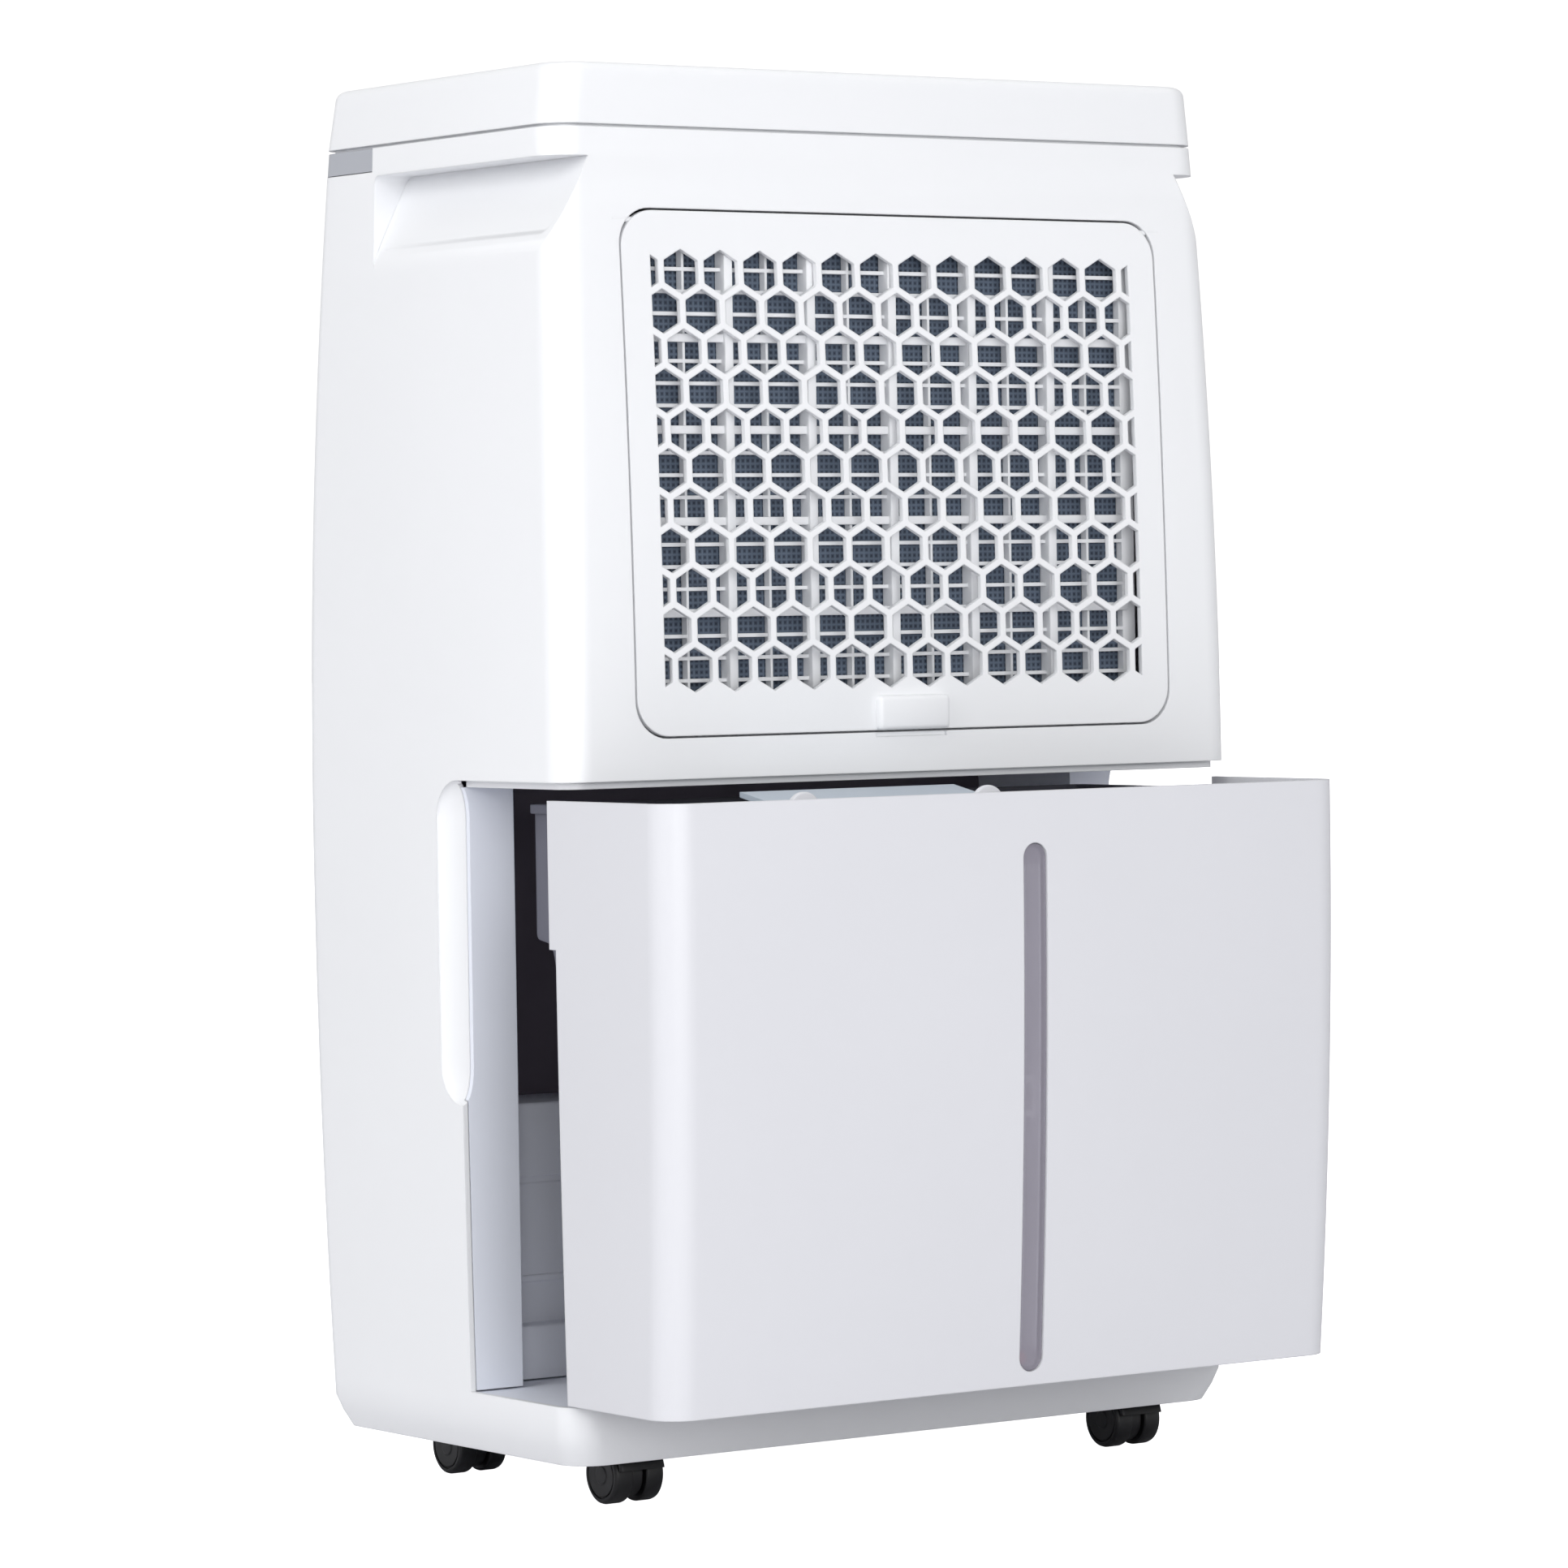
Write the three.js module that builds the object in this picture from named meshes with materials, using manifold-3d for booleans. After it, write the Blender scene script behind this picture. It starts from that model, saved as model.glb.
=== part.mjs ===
// A wheeled domestic dehumidifier with its water bucket drawn part of the way out.
//
// Millimetres. +Z is up, -Y is the side with the filter door and the bucket, and +Y is the plain
// bowed front. The pieces are laid out round the middle of the cabinet, with z = 0 on the floor,
// and the whole group is then moved so that the origin is the bottom centre of the box round it.

import * as THREE from 'three';
import { mergeVertices } from 'three/addons/utils/BufferGeometryUtils.js';
import Module from 'manifold-3d';

const wasm = await Module();
wasm.setup();

// ---------------------------------------------------------------- driving sizes

// Castor wheels: the cabinet's skirt hides a little of them.
const wheelRadius = 12.5;
const wheelCover = 5;
const skirtBottom = wheelRadius * 2 - wheelCover;

// Cabinet: a barrel-sided box, widest at its belly.
const height = 616;
const bellyHalfWidth = 181.5;
const bellyRear = 106.5;
const bellyFront = 108.5;
const wall = 2.6;
const rearCorner = 15;
const frontCorner = 11;
const chamferHeight = 14;
const chamferInset = 5.5;
const skirtHeight = 26;
const lidHeight = 26.3;
const lidGap = 1.2;

// How far each face falls in from the belly, at the top of the cabinet and at its foot.
const topFall = { side: 6, rear: 10.5, front: 14 };
const footFall = { side: 2.5, rear: 5, front: 7 };

// Bucket and the bay it slides into.
const bayHeight = 265;
const bayMouthY = -21;
const bayWidth = bellyHalfWidth * 2 - 58;
const bayDepth = 73;
const lipDrop = 3;
const lipInset = 5;
const bucketDrawn = 76;
const bucketTopGap = 7.5;
const bucketFootInset = 4.5;
const panelGap = 1.2;
const tankGap = 4;
const tankWall = 2.2;
const tankFrontSetback = 20.5;
const wingNotchHeight = 62;
const wingNotchDepth = 5;

// Window in the bucket's front, and the red ball that floats in it.
const windowX = 9;
const windowWidth = 12.7;
const windowFoot = 6;
const windowLength = bayHeight - windowFoot - 31;
const ballRadius = 3.1;

// Grips.
const handleHeight = 38;
const handleDepth = 18;
const handleLength = 142;
const handleBelowTop = 12.5;
const scoopRadius = 17;
const scoopDepth = 6;
const scoopLength = 141;

// Filter door and its honeycomb.
const doorWidth = bellyHalfWidth * 2 - 75;
const doorAboveSplit = 18;
const doorBelowTop = 34.5;
const doorCorner = 16;
const doorGap = 0.9;
const hexPitch = 20.6;
const hexRib = 3;
const hexBorder = 19;
const hexSquash = 0.953;
const fieldWidth = doorWidth - 30;
const tabWidth = 38;
const tabHeight = 15;
const filterThickness = 4;
const filterColumns = 6;
const filterRows = 5;
const meshThickness = 0.8;

// Air path.
const coilWidth = doorWidth - 38;
const coilDepth = 20;
const coilGap = 6;
const bendCount = 4;
const blowerRadius = 80;
const blowerLength = 48;
const bladeCount = 16;
const scrollRadius = 98;
const scrollLength = 64;
const sheet = 2.5;

// Refrigeration.
const compressorRadius = 40;
const compressorHeight = bayHeight - 122;
const accumulatorRadius = 15;
const tubeRadius = 3.2;

// Castors.
const wheelWidth = 9;
const castorWidth = 25;
const castorTrail = 8;
const stemRadius = 4;
const castorX = bellyHalfWidth - 45.5;
const rearCastorY = -bellyRear + 39.5;
const frontCastorY = bellyFront - 50.5;

// Top panel.
const buttonRadius = 7.5;
const buttonTravel = 1.2;
const panelWidth = bellyHalfWidth * 2 - 131;
const panelDepth = 44;
const buttonSpacing = panelWidth * 0.112;
const firstButtonX = panelWidth * 0.194;
const grilleWidth = panelWidth;
const grilleDepth = 78;
const slatCount = 8;

// Gaps: between fixed pieces, and round pieces that turn or slide.
const fitGap = 0.35;
const runGap = 0.5;

// Round a pin of few sides, a hole has to clear its corners as well as its flats.
const turnGap = 0.3;

// ---------------------------------------------------------------- derived levels

const creaseZ = skirtBottom + chamferHeight;
const bayFloorZ = skirtBottom + skirtHeight;
const splitZ = bayFloorZ + bayHeight;
const bayRoofZ = splitZ - lipDrop;
const bellyZ = (bayFloorZ + splitZ) / 2 + bayHeight * 0.42;
const lidZ = height - lidHeight;
const cabinetTop = lidZ - lidGap;
const bucketTop = splitZ - bucketTopGap;
const bucketFoot = bayFloorZ + panelGap;
const bayHalf = bayWidth / 2;
const bayBackY = bayMouthY + bayDepth;
const handleTop = cabinetTop - handleBelowTop;
const handleFoot = handleTop - handleHeight;
const doorFoot = splitZ + doorAboveSplit;
const doorTop = cabinetTop - doorBelowTop;
const doorHeight = doorTop - doorFoot;
const hexRowPitch = hexPitch * hexSquash * Math.sqrt(3) / 2;
const hexRows = Math.floor((doorHeight - hexBorder * 2) / hexRowPitch);
const hexColumns = Math.ceil(fieldWidth / hexPitch) + 1;
const coilHeight = doorHeight - 2;
const stepZ = bucketTop - wingNotchHeight;
const doorMiddle = (doorFoot + doorTop) / 2;

// ---------------------------------------------------------------- finishes

function finish(red, green, blue, roughness, metalness = 0) {
  const color = new THREE.Color().setRGB(red, green, blue, THREE.SRGBColorSpace);
  return new THREE.MeshStandardMaterial({ color, roughness, metalness });
}

const white = finish(0.95, 0.95, 0.96, 0.35);
const liner = finish(0.72, 0.74, 0.79, 0.5);
const charcoal = finish(0.16, 0.15, 0.17, 0.7);
const silver = finish(0.7, 0.72, 0.77, 0.35, 0.3);
const smoke = finish(0.55, 0.54, 0.6, 0.2);
const tankGrey = finish(0.62, 0.62, 0.69, 0.35);
const red = finish(0.8, 0.16, 0.12, 0.4);
const black = finish(0.08, 0.08, 0.09, 0.4);
const meshBlue = finish(0.25, 0.3, 0.37, 0.8);
const aluminium = finish(0.8, 0.81, 0.83, 0.4, 0.9);
const copper = finish(0.78, 0.45, 0.3, 0.35, 0.9);
const darkSteel = finish(0.12, 0.12, 0.13, 0.45, 0.5);
const zincSteel = finish(0.66, 0.67, 0.69, 0.4, 0.8);
const boardGreen = finish(0.12, 0.35, 0.2, 0.6);

// ---------------------------------------------------------------- solids

function solid(geometry) {
  const bare = geometry.clone();
  for (const name of Object.keys(bare.attributes)) {
    if (name !== 'position') {
      bare.deleteAttribute(name);
    }
  }
  const merged = mergeVertices(bare, 1e-4);
  const vertProperties = new Float32Array(merged.attributes.position.array);
  const triVerts = new Uint32Array(merged.index.array);
  return new wasm.Manifold(new wasm.Mesh({ numProp: 3, vertProperties, triVerts }));
}

// Edges that bend the surface by less than this are dropped, so flat faces stay light.
const flatness = 0.02;

function geometryOf(shape) {
  const mesh = shape.asOriginal().simplify(flatness).getMesh();
  const geometry = new THREE.BufferGeometry();
  geometry.setAttribute('position', new THREE.BufferAttribute(new Float32Array(mesh.vertProperties), 3));
  geometry.setIndex(new THREE.BufferAttribute(new Uint32Array(mesh.triVerts), 1));
  geometry.computeVertexNormals();
  return geometry;
}

function join(...shapes) {
  return shapes.reduce((sum, shape) => sum.add(shape));
}

function box(x0, x1, y0, y1, z0, z1) {
  const geometry = new THREE.BoxGeometry(x1 - x0, y1 - y0, z1 - z0);
  geometry.translate((x0 + x1) / 2, (y0 + y1) / 2, (z0 + z1) / 2);
  return solid(geometry);
}

// A box that is the same on both sides of the middle.
function slab(halfWidth, y0, y1, z0, z1) {
  return box(-halfWidth, halfWidth, y0, y1, z0, z1);
}

// An outline as plain points, without the doubled points that arcs leave where they meet lines.
function tidyOutline(outline, curveSegments) {
  const distinct = (points) => points.filter((point, i) => {
    const before = points[(i + points.length - 1) % points.length];
    return point.distanceTo(before) > 1e-3;
  });
  const { shape, holes } = outline.extractPoints(curveSegments);
  const tidy = new THREE.Shape(distinct(shape));
  tidy.holes = holes.map((hole) => new THREE.Path(distinct(hole)));
  return tidy;
}

// Turns an outline drawn in the plane across an axis, and its thickness, to stand along that axis.
// Outlines are drawn as (x, y) across z, (x, z) across y and (y, z) across x.
function prism(outline, axis, from, to, curveSegments = 4) {
  const options = { depth: to - from, bevelEnabled: false, curveSegments };
  const geometry = new THREE.ExtrudeGeometry(tidyOutline(outline, curveSegments), options);
  if (axis === 'z') {
    geometry.translate(0, 0, from);
  } else if (axis === 'y') {
    geometry.rotateX(Math.PI / 2);
    geometry.translate(0, to, 0);
  } else {
    const along = new THREE.Vector3(1, 0, 0);
    const across = new THREE.Vector3(0, 1, 0);
    const up = new THREE.Vector3(0, 0, 1);
    geometry.applyMatrix4(new THREE.Matrix4().makeBasis(across, up, along));
    geometry.translate(from, 0, 0);
  }
  return solid(geometry);
}

// A round bar along an axis, through the point (a, b) of the plane across it.
function rod(axis, a, b, from, to, radius, sides = 16, endRadius = radius) {
  const geometry = new THREE.CylinderGeometry(endRadius, radius, to - from, sides);
  const middle = (from + to) / 2;
  if (axis === 'z') {
    geometry.rotateX(Math.PI / 2);
    geometry.translate(a, b, middle);
  } else if (axis === 'y') {
    geometry.translate(a, middle, b);
  } else {
    geometry.rotateZ(-Math.PI / 2);
    geometry.translate(middle, a, b);
  }
  return solid(geometry);
}

// A ball stretched to three half-sizes.
function ball(x, y, z, rx, ry = rx, rz = rx, rings = 10) {
  const geometry = new THREE.SphereGeometry(1, rings * 2, rings);
  geometry.scale(rx, ry, rz);
  geometry.translate(x, y, z);
  return solid(geometry);
}

function polygon(points) {
  return new THREE.Shape(points.map(([a, b]) => new THREE.Vector2(a, b)));
}

// Rectangle with rounded corners: one radius at the low side, one at the high side.
function roundedRectangle(x0, x1, y0, y1, lowRadius, highRadius = lowRadius) {
  const shape = new THREE.Shape();
  shape.moveTo(x0 + lowRadius, y0);
  shape.absarc(x1 - lowRadius, y0 + lowRadius, lowRadius, -Math.PI / 2, 0);
  shape.absarc(x1 - highRadius, y1 - highRadius, highRadius, 0, Math.PI / 2);
  shape.absarc(x0 + highRadius, y1 - highRadius, highRadius, Math.PI / 2, Math.PI);
  shape.absarc(x0 + lowRadius, y0 + lowRadius, lowRadius, Math.PI, Math.PI * 1.5);
  shape.closePath();
  return shape;
}

// The outline of a stick of points, moved in by a distance on every side. The points run
// anticlockwise.
function insetOutline(points, distance) {
  const count = points.length;
  const result = [];
  for (let i = 0; i < count; i += 1) {
    const here = new THREE.Vector2(...points[i]);
    const into = here.clone().sub(new THREE.Vector2(...points[(i + count - 1) % count])).normalize();
    const out = new THREE.Vector2(...points[(i + 1) % count]).sub(here).normalize();
    const left = new THREE.Vector2(-into.y - out.y, into.x + out.x).normalize();
    const cosine = left.dot(new THREE.Vector2(-out.y, out.x));
    result.push([here.x + left.x * distance / cosine, here.y + left.y * distance / cosine]);
  }
  return result;
}

// ---------------------------------------------------------------- barrel shapes

// Half width, rear and front of the cabinet at a height.
function cabinetProfile(z) {
  const above = z > bellyZ;
  const reach = above ? cabinetTop - bellyZ : bellyZ - creaseZ;
  const fall = above ? topFall : footFall;
  const t = Math.min(Math.abs(z - bellyZ), reach) / reach;
  const below = Math.max(0, creaseZ - Math.max(z, skirtBottom)) / chamferHeight * chamferInset;
  return {
    side: bellyHalfWidth - fall.side * t * t - below,
    rear: bellyRear - fall.rear * t * t - below,
    front: bellyFront - fall.front * t * t - below,
  };
}

// The bucket's front panel leans in a little more towards its foot than the cabinet does.
function bucketProfile(z) {
  const profile = cabinetProfile(z);
  const t = Math.max(0, bellyZ - z) / (bellyZ - bucketFoot);
  profile.rear -= bucketFootInset * t * t;
  return profile;
}

const lidTopFall = 3;
const lidEdge = 2.5;

function lidProfile(z) {
  const base = cabinetProfile(cabinetTop);
  const t = (z - lidZ) / lidHeight;
  const edge = z > height - 0.01 ? lidEdge : 0;
  return {
    side: base.side - lidTopFall * t - edge,
    rear: base.rear - edge,
    front: base.front - lidTopFall * t - edge,
  };
}

// A rounded rectangle lofted through levels, with its sides set by a profile and moved in by an inset.
function loft(profileAt, levels, inset) {
  const widest = levels.map(profileAt).reduce((a, b) => (b.side > a.side ? b : a));
  const side = widest.side - inset;
  const rear = widest.rear - inset;
  const front = widest.front - inset;
  const low = Math.max(rearCorner - inset, 1);
  const high = Math.max(frontCorner - inset, 1);
  const outline = roundedRectangle(-side, side, -rear, front, low, high);
  const steps = levels.length - 1;
  const options = { depth: steps, steps, bevelEnabled: false };
  const geometry = new THREE.ExtrudeGeometry(tidyOutline(outline, 4), options);
  const position = geometry.attributes.position;
  for (let i = 0; i < position.count; i += 1) {
    const z = levels[Math.round(position.getZ(i))];
    const profile = profileAt(z);
    const x = position.getX(i) * (profile.side - inset) / side;
    const y = position.getY(i);
    const depth = y < 0 ? (profile.rear - inset) / rear : (profile.front - inset) / front;
    position.setXYZ(i, x, y * depth, z);
  }
  return solid(geometry);
}

// Levels from one height to another, with the belly and the skirt's crease among them.
function levelsBetween(from, to, step = 62) {
  const stops = [from, creaseZ, bellyZ, to].filter((z) => z >= from && z <= to);
  const marks = [...new Set(stops)].sort((a, b) => a - b);
  const levels = [marks[0]];
  for (let i = 1; i < marks.length; i += 1) {
    const parts = Math.max(1, Math.round((marks[i] - marks[i - 1]) / step));
    for (let k = 1; k <= parts; k += 1) {
      levels.push(marks[i - 1] + (marks[i] - marks[i - 1]) * k / parts);
    }
  }
  return levels;
}

const beyond = 3;
const wide = bellyHalfWidth + 20;
const cabinetOutside = loft(cabinetProfile, levelsBetween(skirtBottom, cabinetTop), 0);

function cabinetInside(inset) {
  return loft(cabinetProfile, levelsBetween(skirtBottom - beyond, cabinetTop + beyond), inset);
}

const cavity = cabinetInside(wall);
const skin = cabinetOutside.subtract(cavity);

// ---------------------------------------------------------------- grips

const sides = [-1, 1];

// Shallow scoop down the edge of the bay's mouth, where fingers pull the bucket.
function scoop(side, grow = 0) {
  const radius = scoopRadius + grow;
  const scoopTop = splitZ - scoopRadius;
  const scoopFoot = splitZ - scoopLength + scoopRadius;
  const middle = (scoopTop + scoopFoot) / 2;
  const skinX = side * cabinetProfile(middle).side;
  const bar = rod('z', 0, 0, scoopFoot, scoopTop, radius, 16);
  const capsule = join(bar, ball(0, 0, scoopTop, radius, radius, radius, 8), ball(0, 0, scoopFoot, radius, radius, radius, 8));
  const squeeze = (scoopDepth + grow) / radius;
  return capsule.scale([squeeze, 1, 1]).translate([skinX, bayMouthY, 0]);
}

// Wedge cut along the upper side, open at the rear corner: the carrying grip.
function handleWedge(side, grow = 0) {
  const edge = cabinetProfile(handleTop).side;
  const rear = cabinetProfile(handleTop).rear;
  const outer = edge + 12;
  const slope = handleDepth / handleHeight;
  const outline = polygon([
    [side * (edge - handleDepth - grow), handleTop + grow],
    [side * outer, handleTop + grow],
    [side * outer, handleFoot - (outer - edge) / slope - grow * 1.6],
  ]);
  return prism(outline, 'y', -rear - 30, -rear + handleLength + grow);
}

// ---------------------------------------------------------------- cabinet shell

const doorOpeningHalf = doorWidth / 2 + doorGap / 2;
const doorOpeningFoot = doorFoot - doorGap / 2;
const doorOpeningTop = doorTop + doorGap / 2;

function doorPrism(grow, y0, y1) {
  const corner = doorCorner + grow;
  const half = doorOpeningHalf + grow;
  const outline = roundedRectangle(-half, half, doorOpeningFoot - grow, doorOpeningTop + grow, corner);
  return prism(outline, 'y', y0, y1, 4);
}

const doorWellBack = -bellyRear + 18.5;
const frontSeamHalf = bellyHalfWidth - 19.5;
const frontSeamY = bellyFront - 38.5;
const bandTop = cabinetTop - 0.3;
const bandHeight = 10;
const bandFoot = bandTop - bandHeight;
const bandWrap = 46;
const bandEndY = cabinetProfile(bandFoot).front - bandWrap;
const drainY = bellyFront - 62.5;
const drainZ = splitZ - 49;
const drainWellRadius = 16;
const drainWellDepth = 15;
const cordY = bellyFront - 46.5;
const cordZ = bayFloorZ + 38;
const cordHoleRadius = 8;
const hingePinRadius = 1.2;
const hingeY = -bellyRear + 9.5;
const hingeZ = doorTop - 4.6;

function makeCabinet() {
  const rearY = -bellyRear - 20;
  const roofBand = slab(wide, rearY, bayMouthY, splitZ, splitZ + 2.5);
  const lipBand = slab(wide, rearY, bayMouthY, bayRoofZ, splitZ + 2.5);
  const ledge = cabinetOutside.subtract(cabinetInside(lipInset + 2.4)).intersect(roofBand);
  const lip = cabinetInside(lipInset).subtract(cabinetInside(lipInset + 2.4)).intersect(lipBand);
  const bay = slab(wide, rearY, bayMouthY, bayFloorZ, splitZ);
  const frontMouth = slab(frontSeamHalf, frontSeamY, wide, 0, height);
  const bandSlot = slab(wide, bandEndY - fitGap, wide, bandFoot - fitGap, height);
  const well = doorPrism(2.4, rearY, doorWellBack).intersect(cabinetOutside);
  const tabNotch = slab(tabWidth / 2, rearY, -bellyRear + 1.6, doorOpeningFoot - 5, doorOpeningFoot + 1);
  const rib = slab(tabWidth / 2 + 4, -bellyRear, -bellyRear + 5, doorOpeningFoot - 8, doorOpeningFoot);
  let shell = skin.subtract(bay).subtract(frontMouth);
  shell = join(shell, ledge, lip, well, rib.intersect(cabinetOutside));
  for (const side of sides) {
    const grip = handleWedge(side, wall).intersect(cabinetOutside);
    const scoopBack = scoop(side, 2.2).intersect(cabinetOutside);
    const behindMouth = slab(wide, bayMouthY + sheet + fitGap, wide, bayFloorZ, splitZ);
    shell = join(shell, grip, scoopBack.intersect(behindMouth));
  }
  const edgeX = cabinetProfile(drainZ).side;
  const drainPocket = rod('x', drainY, drainZ, edgeX - drainWellDepth - wall, edgeX - 1, drainWellRadius + wall);
  shell = join(shell, drainPocket.intersect(cabinetOutside));
  shell = shell.subtract(doorPrism(0, rearY, doorWellBack + 10)).subtract(tabNotch).subtract(bandSlot);
  shell = shell.subtract(rod('x', drainY, drainZ, edgeX - drainWellDepth, edgeX + 5, drainWellRadius));
  shell = shell.subtract(rod('x', drainY, drainZ, 0, edgeX, 7 + fitGap));
  shell = shell.subtract(rod('x', cordY, cordZ, 0, wide, cordHoleRadius + fitGap));
  shell = shell.subtract(rod('x', hingeY, hingeZ, -doorOpeningHalf - 3, doorOpeningHalf + 3, hingePinRadius + 0.15, 12));
  for (const side of sides) {
    shell = shell.subtract(handleWedge(side)).subtract(scoop(side));
  }
  return shell;
}

function makeFrontPanel() {
  const reach = slab(frontSeamHalf - fitGap, frontSeamY + 10, wide, skirtBottom, bandFoot - fitGap);
  const panel = skin.intersect(reach);
  const ribs = sides.map((side) => {
    const x = side * (frontSeamHalf - 14);
    return box(x - 1.2, x + 1.2, bellyFront - 26.5, wide, creaseZ + 26, bandFoot - 38).intersect(cabinetInside(wall - 0.1));
  });
  return join(panel, ...ribs);
}

function makeAccentBand() {
  const ring = cabinetInside(0.15).subtract(cabinetInside(wall));
  return ring.intersect(slab(wide, bandEndY, wide, bandFoot, bandTop));
}

const stemTop = bayFloorZ - 6;
const socketFoot = creaseZ - 3;
const castorPlaces = [
  { name: 'rear_left', x: -castorX, y: rearCastorY },
  { name: 'rear_right', x: castorX, y: rearCastorY },
  { name: 'front_left', x: -castorX, y: frontCastorY },
  { name: 'front_right', x: castorX, y: frontCastorY },
];

function makeBasePan() {
  const plateTop = bayFloorZ - 0.4;
  const inside = cabinetInside(wall + fitGap);
  const plate = inside.intersect(slab(wide, -wide, wide, plateTop - 3, plateTop));
  const rimBand = slab(wide, -wide, wide, creaseZ - 5, plateTop);
  const rim = inside.subtract(cabinetInside(wall + fitGap + 2.5)).intersect(rimBand);
  const ribs = [-60, 60].map((x) => box(x - 1.5, x + 1.5, -bellyRear + 16.5, bellyFront - 16.5, creaseZ, plateTop - 1).intersect(inside));
  let pan = join(plate, rim, ...ribs);
  for (const { x, y } of castorPlaces) {
    pan = pan.add(rod('z', x, y, socketFoot, plateTop - 1, 9, 12));
    pan = pan.subtract(rod('z', x, y, 0, stemTop + 1.5, stemRadius + turnGap, 12));
  }
  return pan;
}

// ---------------------------------------------------------------- lid and top panel

const lidLevels = [lidZ, lidZ + 10, height - lidEdge, height];
const lidRoof = 3;
const panelY = bellyFront - 48.5;
const grilleY = -bellyRear + 70.5;
const panelTop = height - 1.2;
const panelThickness = 3;

function panelOutline(width, depth, centreY, corner, shrink) {
  const half = width / 2 - shrink;
  const reach = depth / 2 - shrink;
  return roundedRectangle(-half, half, centreY - reach, centreY + reach, corner);
}

function makeLid() {
  const outside = loft(lidProfile, lidLevels, 0);
  const insideLevels = [lidZ - beyond, lidZ + 10, height - lidRoof];
  const inside = loft((z) => lidProfile(Math.max(z, lidZ)), insideLevels, wall);
  const tongue = loft(() => cabinetProfile(cabinetTop), [lidZ - 5, lidZ + 2], wall + fitGap)
    .subtract(loft(() => cabinetProfile(cabinetTop), [lidZ - 6, lidZ + 3], wall + 2.4));
  const strip = loft(() => cabinetProfile(cabinetTop), [lidZ, lidZ + 2], wall - 0.5)
    .subtract(loft(() => cabinetProfile(cabinetTop), [lidZ - 1, lidZ + 3], wall + 2.4));
  let lid = join(outside.subtract(inside), tongue, strip);
  const panelWell = panelOutline(panelWidth, panelDepth, panelY, 7, 0);
  lid = lid.add(prism(panelOutline(panelWidth, panelDepth, panelY, 8, -2), 'z', panelTop - 6.5, height - 1));
  lid = lid.subtract(prism(panelWell, 'z', panelTop - panelThickness - 0.3, height + 1));
  lid = lid.subtract(prism(panelOutline(panelWidth, panelDepth, panelY, 5, 6), 'z', lidZ, height));
  return lid.subtract(prism(panelOutline(grilleWidth, grilleDepth, grilleY, 6, 0), 'z', lidZ, height + 1));
}

function makeGrille() {
  const outline = panelOutline(grilleWidth, grilleDepth, grilleY, 5.6, fitGap);
  const hole = panelOutline(grilleWidth, grilleDepth, grilleY, 3, 5);
  const foot = height - 8;
  let grille = prism(outline, 'z', foot, height - 0.6).subtract(prism(hole, 'z', foot - 1, height + 1));
  const clear = grilleDepth - 10;
  const pitch = clear / slatCount;
  for (let i = 0; i < slatCount; i += 1) {
    const y = grilleY - clear / 2 + pitch * (i + 0.5);
    const slat = polygon([[y - 2.2, foot], [y - 0.9, foot], [y + 2.2, height - 1], [y + 0.9, height - 1]]);
    grille = grille.add(prism(slat, 'x', -grilleWidth / 2 + 4, grilleWidth / 2 - 4));
  }
  const spine = slab(1.2, grilleY - clear / 2 - 1, grilleY + clear / 2 + 1, foot, foot + 3);
  return grille.add(spine);
}

const displayHalf = panelWidth * 0.112;
const buttonNames = ['power', 'mode', 'fan', 'humidity_up', 'humidity_down', 'timer'];
const buttonPlaces = buttonNames.map((name, i) => {
  const left = i < 3;
  const along = firstButtonX + (left ? 2 - i : i - 3) * buttonSpacing;
  return { name: `button_${name}`, x: left ? -along : along };
});

function makePanel() {
  const outline = panelOutline(panelWidth, panelDepth, panelY, 6.6, fitGap);
  let panel = prism(outline, 'z', panelTop - panelThickness, panelTop);
  for (const { x } of buttonPlaces) {
    panel = panel.subtract(rod('z', x, panelY, panelTop - 9, panelTop + 1, buttonRadius + runGap, 16));
  }
  const view = roundedRectangle(-displayHalf, displayHalf, panelY - 13, panelY + 13, 3);
  return panel.subtract(prism(view, 'z', panelTop - 1.4, panelTop + 1));
}

function makeDisplay() {
  const half = displayHalf - fitGap;
  const view = roundedRectangle(-half, half, panelY - 13 + fitGap, panelY + 13 - fitGap, 2.7);
  return prism(view, 'z', panelTop - 1.4 + fitGap, panelTop);
}

const boardTop = panelTop - 11;

function makeButton() {
  const cap = rod('z', 0, 0, panelTop - 2.2, height, buttonRadius);
  const stem = rod('z', 0, 0, boardTop + buttonTravel + 0.3, panelTop - 2, 3, 12);
  return join(cap, stem);
}

// ---------------------------------------------------------------- bay

function makeBayLiner() {
  const wallX = bayHalf + sheet;
  const roof = bayRoofZ + 0.3;
  const roofTop = roof + sheet;
  const foot = bayFloorZ + fitGap;
  const outer = slab(wallX, bayMouthY, bayBackY, foot, roofTop);
  const inner = slab(bayHalf, bayMouthY - 1, bayBackY + 1, foot - 1, roof);
  const mouthPlate = cabinetInside(wall + fitGap)
    .intersect(slab(wide, bayMouthY, bayMouthY + sheet, foot, bayRoofZ))
    .subtract(slab(bayHalf, bayMouthY - 1, wide, 0, height));
  const roofPlate = cabinetInside(lipInset + 2.4 + fitGap).intersect(slab(wide, -wide, bayMouthY + sheet, roof, roofTop));
  let shape = join(outer.subtract(inner), mouthPlate, roofPlate);
  for (const side of sides) {
    shape = shape.subtract(scoop(side, 0.3));
  }
  shape = shape.subtract(rod('z', spoutX, spoutY, roof - 2, roofTop + 2, spoutRadius + 0.6));
  const edgeX = cabinetProfile(drainZ).side;
  return shape.subtract(rod('x', drainY, drainZ, edgeX - 40, edgeX, drainWellRadius + 4));
}

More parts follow.
